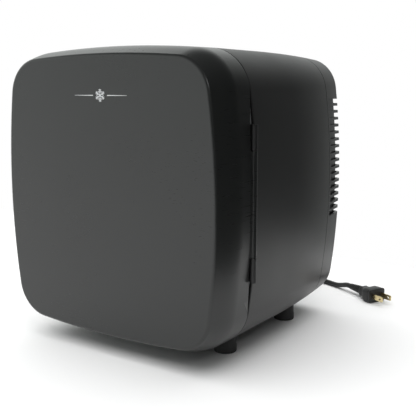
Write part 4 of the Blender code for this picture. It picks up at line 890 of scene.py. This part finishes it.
CABIN_REAR = 0.1633
STACK_HALF = 0.022
STACK_Z = 0.177
RAIL_REACH, RAIL_THICKNESS = 0.004, 0.003
shelf_low, shelf_high, shelf_middle, shelf_half = measured("shelf")
TUB_FILLET = 0.007
inner = [ring(cabin_loop(-drop), CABIN_REAR - run) for run, drop in fillet(TUB_FILLET)]
outer = [ring(cabin_loop(LINER_WALL - drop), CABIN_REAR + LINER_WALL - run) for run, drop in fillet(TUB_FILLET)]
tub = loft("cabin_tub", [ring(cabin_loop(-TUB_FILLET), CABIN_REAR)] + inner[1:]
           + [ring(cabin_loop(0), FRAME_FRONT + 0.001), ring(cabin_loop(0.0006), FRAME_FRONT + 0.0002),
              ring(cabin_loop(0.0012), FRAME_FRONT), ring(cabin_loop(LINER_WALL), FRAME_FRONT)] + outer[::-1])
rails = []
for side in (-1, 1):
    ends = sorted((side * (CABIN_HALF_WIDTH - RAIL_REACH), side * (CABIN_HALF_WIDTH + LINER_WALL / 2)))
    rail_top = shelf_low.z - FIT_GAP
    rails.append(box_tool("rail", (ends[0], shelf_low.y, rail_top - RAIL_THICKNESS),
                          (ends[1], at(CABIN_REAR + LINER_WALL / 2), rail_top)))
combined(tub, "UNION", *rails)
combined(tub, "DIFFERENCE", box_tool("way", (-STACK_HALF, at(CABIN_REAR - WALL), STACK_Z - STACK_HALF),
                                     (STACK_HALF, at(CABIN_REAR + 2 * WALL), STACK_Z + STACK_HALF)))
eased_edges(tub, 0.0004, 2, 40)
fitted(tub, "cabinet", liner_hips, "liner_grey", "cabin_liner")

foam_beads = surface("foam_beads", (0.86, 0.86, 0.83), 0.85, tint=0.04, patch=90, grain=0.0003, grain_size=320)
dressed(foam_beads, "cabinet_foam", "door_foam")


# ------------ Shelf
# One pale shelf with two rows of drain slots, moulded in the same HIPS as the tub. It rests on the tub's rails and
# slides out towards the door.
SHELF_RADIUS, SHELF_SLOTS, SHELF_BORDER, SHELF_BAR, SHELF_EDGE = 0.005, 7, 0.010, 0.0033, 0.0006
rack = loft("slotted_shelf", [level_ring(shelf_middle, shelf_half, shrink, SHELF_RADIUS - shrink, z) for shrink, z in (
    (SHELF_EDGE, shelf_low.z), (0.0, shelf_low.z + SHELF_EDGE), (0.0, shelf_high.z - SHELF_EDGE),
    (SHELF_EDGE, shelf_high.z))])
shelf_pitch = (2 * shelf_half.y - SHELF_BORDER) / SHELF_SLOTS
slot_width = shelf_half.x - 1.5 * SHELF_BORDER
for side in (-1, 1):
    first = (side * (SHELF_BORDER + slot_width) / 2,
             shelf_low.y + SHELF_BORDER + (shelf_pitch - SHELF_BAR) / 2, shelf_middle.z)
    slotted(rack, SHELF_SLOTS, first, (0, shelf_pitch, 0), (slot_width, shelf_pitch - SHELF_BAR, 0.02), liner_hips)
eased_edges(rack, 0.0004, 2, 40)
fitted(rack, "shelf", liner_hips, "liner_grey", "shelf")


# ------------ Rear cover
# A textured black ABS cap over the cooling works. Louvres wrap round both rear edges, a vent stands behind the fan,
# and windows let the inlets and the switch through. Four screws hold it to posts on the bulkhead.
COVER_GAP, REAR_ROLL, COVER_STEPS = 0.0008, 0.009, 4
LOUVRE_PITCH, LOUVRE_SLOT, LOUVRE_COUNT = 0.0074, 0.0036, 17
LOUVRE_LOW = MID_Z - 0.12 * HEIGHT
LOUVRE_START = COVER_SEAM + 0.0055
LOUVRE_INNER, LOUVRE_SPLAY = WIDTH / 2 - 0.040, 0.075
VENT_HALF, VENT_COUNT = 0.036, 9
DC_X, SWITCH_X = -0.034, -0.002
WINDOWS = ((INLET_X, 0.0117, 0.0087), (DC_X, 0.0087, 0.0062), (SWITCH_X, 0.0097, 0.0047))
POST_X, POST_Z = 0.092, 0.098
SCREW_HEAD, SCREW_SHANK, SCREW_SINK, SCREW_LENGTH = 0.0030, 0.0014, 0.0014, 0.010


def cover_form(name, skin, front):
    """The rear cover's form moved inwards by skin, from a depth to its rear face."""
    roll_depth, radius = DEPTH - REAR_ROLL, REAR_ROLL - skin
    depths = [front + (roll_depth - front) * i / COVER_STEPS for i in range(COVER_STEPS)]
    rings = [ring(drawn_in(depth, skin), depth) for depth in depths]
    for i in range(ROLL_STEPS + 1):
        turn = math.pi / 2 * i / ROLL_STEPS
        rings.append(ring(drawn_in(roll_depth, REAR_ROLL - radius * math.cos(turn)),
                          roll_depth + radius * math.sin(turn)))
    return loft(name, rings)


def facing_back(obj, x, depth, z):
    """Turns a piece from +Z to face the rear, and puts it at a place."""
    obj.data.transform(Matrix.Translation((x, at(depth), z)) @ Matrix.Rotation(-math.pi / 2, 4, "X"))
    return obj


cover = combined(cover_form("rear_cap", 0.0, COVER_SEAM + COVER_GAP), "DIFFERENCE",
                 cover_form("cap_hollow", WALL, COVER_SEAM - WALL))
louvre_width = WIDTH / 2 + WALL - LOUVRE_INNER
louvre_reach = DEPTH + WALL - LOUVRE_START
for side in (1, -1):
    first = (side * (LOUVRE_INNER + louvre_width / 2), at(LOUVRE_START + louvre_reach / 2), LOUVRE_LOW)
    slotted(cover, LOUVRE_COUNT, first, (0, 0, LOUVRE_PITCH), (louvre_width, louvre_reach, LOUVRE_SLOT), shell_abs,
            side * LOUVRE_SPLAY)
slotted(cover, VENT_COUNT, (0, at(DEPTH), STACK_Z - LOUVRE_PITCH * (VENT_COUNT - 1) / 2), (0, 0, LOUVRE_PITCH),
        (2 * VENT_HALF, 4 * WALL, LOUVRE_SLOT), shell_abs)
openings = [box_tool("window", (x - across - FIT_GAP, at(DEPTH - 2 * WALL), INLET_Z - up - FIT_GAP),
                     (x + across + FIT_GAP, at(DEPTH + WALL), INLET_Z + up + FIT_GAP)) for x, across, up in WINDOWS]
sink_radius, hole_radius = SCREW_HEAD + FIT_GAP, SCREW_SHANK + FIT_GAP
SCREW_WAY = ((0, -0.006), (hole_radius, -0.006), (hole_radius, -SCREW_SINK - FIT_GAP),
             (sink_radius, -SCREW_SINK - FIT_GAP), (sink_radius, 0.002), (0, 0.002))
for x in (-POST_X, POST_X):
    for z in (MID_Z - POST_Z, MID_Z + POST_Z):
        openings.append(facing_back(turned("screw_way", SCREW_WAY, 28), x, DEPTH, z))
combined(cover, "DIFFERENCE", *openings)
eased_edges(cover, 0.0003, 1, 38)
fitted(cover, "cabinet", shell_abs, "shell_black", "rear_cover", sharp=34)
dressed(shell_abs, "rear_bulkhead")

# Behind each bank of louvres a thin black sheet darkens the slots: painted shade, standing in for the shadow inside
# the cover.
SHADE_SHEET_SKIN, SHADE_SHEET_WALL, SHADE_SHEET_MARGIN = 0.0042, 0.0006, 0.0045
shade_sheet = combined(cover_form("louvre_shade_sheet", SHADE_SHEET_SKIN, COVER_SEAM + 0.003), "DIFFERENCE",
                  cover_form("shade_sheet_hollow", SHADE_SHEET_SKIN + SHADE_SHEET_WALL, COVER_SEAM + 0.001))
shade_sheet_low, shade_sheet_high = LOUVRE_LOW - SHADE_SHEET_MARGIN, LOUVRE_LOW + LOUVRE_PITCH * (LOUVRE_COUNT - 1) + SHADE_SHEET_MARGIN
bands = [box_tool("below", (-WIDTH, at(0), -0.1), (WIDTH, at(DEPTH + 0.1), shade_sheet_low)),
         box_tool("above", (-WIDTH, at(0), shade_sheet_high), (WIDTH, at(DEPTH + 0.1), 0.5)),
         box_tool("between", (-LOUVRE_INNER + 0.003, at(0), 0.0), (LOUVRE_INNER - 0.003, at(DEPTH + 0.1), 0.4))]
fitted(combined(shade_sheet, "DIFFERENCE", *bands), "cabinet", shell_abs, "shell_black")


# ------------ Cover screws
# Four zinc-plated steel screws with flat heads and a cross recess. They sit flush in the cover and drive into the
# posts on the bulkhead.
screw_tree, screw = recipe("pan_screws", Apart=float, Height=float, Head=float, Sink=float, Shank=float,
                           Length=float, Finish=bpy.types.Material)


def hanging(vertices, radius, length, below=0.0):
    """A round bar in the screws' tree, with its top a little below z = 0."""
    bar = op(screw_tree, "GeometryNodeMeshCylinder", {"Vertices": vertices, "Radius": radius,
                                                      "Depth": length})["Mesh"]
    drop = upwards(screw_tree, maths(screw_tree, "SUBTRACT", maths(screw_tree, "MULTIPLY", length, -0.5), below))
    return op(screw_tree, "GeometryNodeTransform", {"Geometry": bar, "Translation": drop})["Geometry"]


RECESS_LONG, RECESS_WIDE, RECESS_DEEP = 0.0036, 0.0008, 0.0016
one_screw = united(screw_tree, hanging(28, screw["Head"], screw["Sink"]),
                   hanging(20, screw["Shank"], screw["Length"], 0.0002))
for size in ((RECESS_LONG, RECESS_WIDE, RECESS_DEEP), (RECESS_WIDE, RECESS_LONG, RECESS_DEEP)):
    one_screw = cut_away(screw_tree, one_screw, op(screw_tree, "GeometryNodeMeshCube", {"Size": size})["Mesh"])
corners = op(screw_tree, "GeometryNodeMeshGrid", {"Size X": screw["Apart"], "Size Y": screw["Height"],
                                                  "Vertices X": 2, "Vertices Y": 2})["Mesh"]
close_recipe(screw_tree, copied(screw_tree, corners, one_screw), screw["Finish"])
screws = linked("pan_screws", bpy.data.meshes.new("pan_screws"))
grown(screws, screw_tree, Apart=2 * POST_X, Height=2 * POST_Z, Head=SCREW_HEAD, Sink=SCREW_SINK, Shank=SCREW_SHANK,
      Length=SCREW_LENGTH, Finish=steel)
facing_back(screws, 0, DEPTH, MID_Z)
eased_edges(screws, 0.00015, 1, 50)
fitted(screws, "cabinet", steel, "steel", "cover_screw_left_low", "cover_screw_left_high", "cover_screw_right_low",
       "cover_screw_right_high")


# ------------ Feet
# Four moulded rubber feet with a rounded sole and a shallow dished middle. They are fixed to the cabinet's bowed
# underside and keep it clear of the floor.
FOOT_RADIUS, FOOT_TOP = 0.011, 0.0230
rubber = surface("foot_rubber", (0.022, 0.022, 0.022), 0.72, tint=0.2, patch=150, grain=0.00006, grain_size=1100)
for node in ("foot_front_left", "foot_front_right", "foot_rear_left", "foot_rear_right"):
    low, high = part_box(node)
    foot = turned(f"{node}_pad", [(0, 0.0006), (0.0052, 0.0006), (0.0060, 0.0), (FOOT_RADIUS - 0.0011, 0.0),
                                  (FOOT_RADIUS - 0.0003, 0.0003), (FOOT_RADIUS, 0.0012), (FOOT_RADIUS, 0.0060),
                                  (FOOT_RADIUS - 0.0003, 0.0080), (FOOT_RADIUS - 0.0003, FOOT_TOP), (0, FOOT_TOP)],
                  48)
    foot.data.transform(Matrix.Translation(((low.x + high.x) / 2, (low.y + high.y) / 2, 0)))
    combined(foot, "DIFFERENCE", cabinet_form("foot_trim", -FIT_GAP / 2, BODY_FRONT, COVER_SEAM))
    fitted(foot, "cabinet", rubber, "rubber_black", node)


# ------------ Heat sinks, spacer and module
# Two extruded aluminium heat sinks clamp a spacer block and a white ceramic Peltier module between them. The cold
# one stands in the cabin and the hot one behind the bulkhead.
fin_tree, fin = recipe("row_of_fins", Count=int, Start=tuple, Step=tuple, Size=tuple, Finish=bpy.types.Material)
fin_box = op(fin_tree, "GeometryNodeMeshCube", {"Size": fin["Size"]})["Mesh"]
fin_row = copied(fin_tree, point_row(fin_tree, fin["Count"], fin["Start"], fin["Step"]), fin_box)
close_recipe(fin_tree, united(fin_tree, fin["Geometry"], fin_row), fin["Finish"])


def ribbed(obj, count, start, step, size, finish):
    """Joins a row of fins or ribs to a piece."""
    return grown(obj, fin_tree, Count=count, Start=start, Step=step, Size=size, Finish=finish)


aluminium = surface("sink_aluminium", (0.72, 0.73, 0.75), 0.34, metallic=1.0, tint=0.05, patch=60, grain=0.00002,
                    grain_size=900, stretch=(6, 6, 0.4), marks=0.08)
SINK_BASE, FIN_SHARE, FIN_ROOT = 0.005, 0.32, 0.0003
for node, name, count, base_at_front in (("cold_sink", "cold_fins", 10, False), ("hot_sink", "hot_fins", 16, True)):
    low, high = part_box(node)
    middle, size = (low + high) / 2, high - low
    base_low, base_high = Vector(low), Vector(high)
    if base_at_front:
        base_high.y = low.y + SINK_BASE
        fin_low, fin_high = base_high.y - FIN_ROOT, high.y
    else:
        base_low.y = high.y - SINK_BASE
        fin_low, fin_high = low.y, base_low.y + FIN_ROOT
    sink = box_tool(name, base_low, base_high)
    pitch = size.x / (count - 1 + FIN_SHARE)
    thick = pitch * FIN_SHARE
    ribbed(sink, count, (low.x + thick / 2 + HAIR, (fin_low + fin_high) / 2, middle.z),
           ((size.x - thick - 2 * HAIR) / (count - 1), 0, 0), (thick, fin_high - fin_low, size.z - 2 * HAIR),
           aluminium)
    eased_edges(sink, 0.00022, 1, 40)
    fitted(sink, "cabinet", aluminium, "aluminium", node)
dressed(aluminium, "spacer_block")
dressed(surface("module_ceramic", (0.80, 0.80, 0.78), 0.55, tint=0.03, patch=120, grain=0.00002), "peltier_module")


# ------------ Duct cover
# A pale moulded box over the cold sink and its fan, slotted at the front and open above and below the fins. It
# stands against the tub's rear wall.
duct_low, duct_high, duct_middle, duct_half = measured("duct_cover")
DUCT_WALL, DUCT_EDGE, DUCT_SLOTS = 0.002, 0.004, 6


def duct_ring(shrink, y, radius=DUCT_EDGE):
    """The duct cover's upright outline, moved inwards, at a place along its depth."""
    return facing_ring(0, duct_middle.z, duct_half.x - shrink, duct_half.z - shrink, radius, y)


duct = loft("fan_duct", [duct_ring(0.0025, duct_low.y), duct_ring(0.0012, duct_low.y + 0.0003),
                         duct_ring(0.0004, duct_low.y + 0.0010), duct_ring(0.0, duct_low.y + 0.0025),
                         duct_ring(0.0, duct_high.y)])
duct_hollow = loft("duct_hollow", [duct_ring(DUCT_WALL, duct_low.y + DUCT_WALL, 0.002),
                                   duct_ring(DUCT_WALL, duct_high.y + 0.003, 0.002)])
cold_low, cold_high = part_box("cold_sink")
duct_window = box_tool("duct_window", (-0.015, cold_low.y, duct_low.z - 0.01),
                       (0.015, cold_high.y - SINK_BASE, duct_high.z + 0.01))
combined(duct, "DIFFERENCE", duct_hollow, duct_window)
duct_reach = 0.0275
duct_pitch = 2 * duct_reach / DUCT_SLOTS
slotted(duct, DUCT_SLOTS, (0, duct_low.y, STACK_Z - duct_reach + duct_pitch / 2), (0, 0, duct_pitch),
        (2 * duct_reach, 4 * DUCT_WALL, duct_pitch * 0.66), liner_hips)
eased_edges(duct, 0.00035, 2, 40)
fitted(duct, "cabinet", liner_hips, "liner_grey", "duct_cover")


# ------------ Fans
# Two square axial fans in black PBT, one in the duct and one behind the hot sink. Each has a frame with a hub plate
# on four arms, and a rotor with seven twisted blades.
fan_pbt = surface("fan_pbt", (0.028, 0.028, 0.030), 0.38, tint=0.15, patch=50, grain=0.00002, grain_size=1300)
FAN_RIM, HUB_SHARE, SPIDER, TIP_GAP, BLADES = 0.0025, 0.42, 0.002, 0.0012, 7
FAN_CORNER, FAN_EDGE, FAN_HOLE, OVERRUN = 0.004, 0.0004, 0.0016, 0.002
ROOT_SHARE, SPAN_SHARE, SPAN_GROWTH, SWEEP = 0.93, 0.62, 0.16, 0.30
BLADE_PITCH, PITCH_LOSS, CAMBER, BLADE_HALF = 0.84, 0.24, 0.08, 0.00055
BLADE_STEPS, CHORD_STEPS = 7, 6
blade_tree, blade_in = recipe("fan_rotor", Blades=int, HubRadius=float, HubDepth=float, Finish=bpy.types.Material)
hub = op(blade_tree, "GeometryNodeMeshCylinder", {"Vertices": 48, "Radius": blade_in["HubRadius"],
                                                  "Depth": blade_in["HubDepth"]})["Mesh"]
blade_share = maths(blade_tree, "DIVIDE", op(blade_tree, "GeometryNodeInputIndex")["Index"], blade_in["Blades"])
blade_spin = upwards(blade_tree, maths(blade_tree, "MULTIPLY", blade_share, 2 * math.pi))
blade_spots = point_row(blade_tree, blade_in["Blades"], (0, 0, 0), (0, 0, 0))
blade_row = copied(blade_tree, blade_spots, blade_in["Geometry"], Rotation=blade_spin)
close_recipe(blade_tree, united(blade_tree, hub, blade_row), blade_in["Finish"])


def fan_blade(hub_radius, tip_radius, depth):
    """One cambered blade from inside the hub to the tip, swept forward and twisted, about +Z."""
    rings = []
    for i in range(BLADE_STEPS + 1):
        t = i / BLADE_STEPS
        radius = hub_radius * ROOT_SHARE + (tip_radius - hub_radius * ROOT_SHARE) * t
        half_span = math.pi / BLADES * (SPAN_SHARE + SPAN_GROWTH * t)
        pitch_height = depth * (BLADE_PITCH - PITCH_LOSS * t)
        profile = []
        for k in range(CHORD_STEPS + 1):
            s = k / CHORD_STEPS
            angle = SWEEP * t * t + half_span * (2 * s - 1)
            rise = pitch_height * (s - 0.5) + CAMBER * depth * math.sin(math.pi * s)
            profile.append((angle, rise, BLADE_HALF * math.sin(math.pi * min(0.9, max(0.1, s)))))
        top = [(radius * math.cos(a), radius * math.sin(a), z + w) for a, z, w in profile]
        under = [(radius * math.cos(a), radius * math.sin(a), z - w) for a, z, w in reversed(profile)]
        rings.append(top + under)
    return loft("rotor_blade", rings)


for label, screw_inset in (("inner", 0.0045), ("outer", 0.0050)):
    low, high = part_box(f"{label}_fan_frame")
    half, depth = (high.x - low.x) / 2, high.y - low.y
    bore, rear = half - FAN_RIM, high.y
    hub_radius = bore * HUB_SHARE
    fan_frame = loft(f"{label}_fan_body", [
        facing_ring(0, STACK_Z, half - shrink, half - shrink, FAN_CORNER, y)
        for shrink, y in ((FAN_EDGE, low.y), (0, low.y + FAN_EDGE), (0, high.y - FAN_EDGE), (FAN_EDGE, high.y))])
    back = rear + DEPTH / 2
    cutters = [facing_back(rod("bore", bore, -depth - OVERRUN, OVERRUN, 72), 0, back, STACK_Z)]
    for side in (-1, 1):
        for top in (-1, 1):
            hole = rod("hole", FAN_HOLE, -depth - OVERRUN, OVERRUN, 20)
            cutters.append(facing_back(hole, side * (half - screw_inset), back,
                                       STACK_Z + top * (half - screw_inset)))
    combined(fan_frame, "DIFFERENCE", *cutters)
    plate = turned("plate", [(0, -0.00225), (hub_radius, -0.00225), (hub_radius, -0.0007),
                             (hub_radius - 0.0004, -0.00025), (0, -0.00025)], 48)
    thick = FAN_RIM / 2
    arms = [facing_back(plate, 0, back, STACK_Z),
            box_tool("arm", (-bore - thick, rear - SPIDER, STACK_Z - thick),
                     (bore + thick, rear - SPIDER / 4, STACK_Z + thick)),
            box_tool("arm", (-thick, rear - SPIDER + HAIR, STACK_Z - bore - thick),
                     (thick, rear - SPIDER / 4 - HAIR, STACK_Z + bore + thick))]
    combined(fan_frame, "UNION", *arms)
    eased_edges(fan_frame, 0.0002, 1, 45)
    fitted(fan_frame, "cabinet", fan_pbt, "fan_black", f"{label}_fan_frame")

    rotor_low, rotor_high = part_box(f"{label}_fan_rotor")
    rotor_depth = rotor_high.y - rotor_low.y
    rotor = fan_blade(hub_radius, bore - TIP_GAP - 0.0001, rotor_depth)
    grown(rotor, blade_tree, Blades=BLADES, HubRadius=hub_radius - 0.0003, HubDepth=rotor_depth, Finish=fan_pbt)
    rotor.name = f"{label}_rotor"
    facing_back(rotor, 0, (rotor_low.y + rotor_high.y) / 2 + DEPTH / 2, STACK_Z)
    eased_edges(rotor, 0.0003, 2, 60)
    fitted(rotor, f"{label}_fan", fan_pbt, "fan_black", f"{label}_fan_rotor")


# ------------ Inlets and switch
# Three black PBT sockets stand in the cover's windows: a figure-eight mains inlet, a 12 V inlet with two round
# pins, and a slide switch with a ribbed rubber knob.
SOCKET_CORNER, SOCKET_RIM = 0.0012, 0.0005


def socket_body(node, name, x, across, up, pocket, pocket_depth):
    """A socket flush with the rear face, with a soft rim and an open pocket."""
    low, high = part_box(node)
    rings = [facing_ring(x, INLET_Z, across - shrink, up - shrink, SOCKET_CORNER, y)
             for shrink, y in ((0, low.y), (0, high.y - SOCKET_RIM), (SOCKET_RIM, high.y))]
    pocket_rings = [facing_ring(x, INLET_Z, pocket[0] + grow, pocket[1] + grow, pocket[1] * 0.9, y)
                    for grow, y in ((0, high.y - pocket_depth), (0, high.y - SOCKET_RIM), (0.0006, high.y + 0.0001),
                                    (0.0006, high.y + 0.002))]
    made = combined(loft(name, rings), "DIFFERENCE", loft("pocket", pocket_rings))
    return fitted(made, "cabinet", fan_pbt, "fan_black", node)


socket_body("ac_inlet", "mains_socket", *WINDOWS[0], (0.0082, 0.0042), 0.009)
socket_body("dc_inlet", "low_voltage_socket", *WINDOWS[1], (0.0066, 0.0037), 0.008)
socket_body("switch_housing", "switch_body", *WINDOWS[2], (0.0075, 0.0027), 0.006)
PIN_APART, PIN_RADIUS = 0.0062, 0.0010
for label, side in (("left", -1), ("right", 1)):
    pin = turned(f"dc_pin_{label}", [(0, -0.0085), (PIN_RADIUS, -0.0085), (PIN_RADIUS, -0.0022),
                                     (PIN_RADIUS * 0.85, -0.0014), (PIN_RADIUS * 0.45, -0.0010), (0, -0.0009)], 24)
    fitted(facing_back(pin, DC_X + side * PIN_APART / 2, DEPTH, INLET_Z), "cabinet", brass, "blade_brass")
knob_low, knob_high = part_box("switch_slider")
knob_half = (knob_high - knob_low) / 2
knob = loft("switch_knob", [facing_ring(SWITCH_X, INLET_Z, knob_half.x - shrink, knob_half.z - shrink, 0.0006, y)
                            for shrink, y in ((0, knob_low.y), (0, knob_high.y - 0.0008),
                                              (0.0003, knob_high.y - 0.0005))])
ribbed(knob, 4, (SWITCH_X - 0.0015, knob_high.y - 0.0006, INLET_Z), (0.0010, 0, 0), (0.0005, 0.0012, 0.0036), rubber)
fitted(knob, "mode_slider", rubber, "rubber_black", "switch_slider")


# ------------ Power supply
# A green circuit board on two standoffs inside the rear cover. It carries a transformer wound in yellow tape and a
# smoothing capacitor in a blue sleeve.
def patterned(name, kind, settings, low, high, roughness, low_at, high_at, output, grain=0.00003, **sockets):
    """A finish whose colour follows one texture, such as tracks, tape or a sleeve."""
    made = surface(name, low, roughness, grain=grain, **sockets)
    tree = made.node_tree
    place = next(node for node in tree.nodes if node.type == "TEX_COORD").outputs["Object"]
    figure = op(tree, kind, {"Vector": place, **settings})[output]
    share = ranged(tree, figure, low_at, high_at)
    tone = op(tree, "ShaderNodeMix", {"Factor": share, "A": (*low, 1), "B": (*high, 1)}, data_type="RGBA")["Result"]
    tree.links.new(tone, tree.nodes["Principled BSDF"].inputs["Base Color"])
    return made


dressed(patterned("board_green", "ShaderNodeTexVoronoi", {"Scale": 260.0}, (0.02, 0.10, 0.045), (0.05, 0.22, 0.09),
                  0.35, 0.2, 0.7, "Distance"), "power_board")
dressed(patterned("transformer_tape", "ShaderNodeTexWave", {"Scale": 130.0}, (0.62, 0.47, 0.10), (0.80, 0.66, 0.22),
                  0.42, 0.35, 0.6, "Fac"), "transformer")
can_low, can_high, can_middle, can_half = measured("smoothing_capacitor")
can_radius, can_length = can_half.x, can_high.y - can_low.y
can = turned("capacitor_can", [(0, 0), (can_radius * 0.94, 0), (can_radius, 0.0006), (can_radius, 0.0022),
                               (can_radius * 0.92, 0.0028), (can_radius, 0.0034), (can_radius, can_length - 0.0008),
                               (can_radius * 0.9, can_length - 0.0001), (can_radius * 0.72, can_length),
                               (can_radius * 0.68, can_length - 0.0003), (0, can_length - 0.0003)], 40)
facing_back(can, can_middle.x, can_low.y + DEPTH / 2, can_middle.z)
can_sleeve = patterned("capacitor_sleeve", "ShaderNodeTexWave", {"Scale": 40.0}, (0.02, 0.035, 0.16),
                       (0.05, 0.08, 0.28), 0.3, 0.4, 0.6, "Fac")
fitted(can, "cabinet", can_sleeve, "capacitor_blue", "smoothing_capacitor")
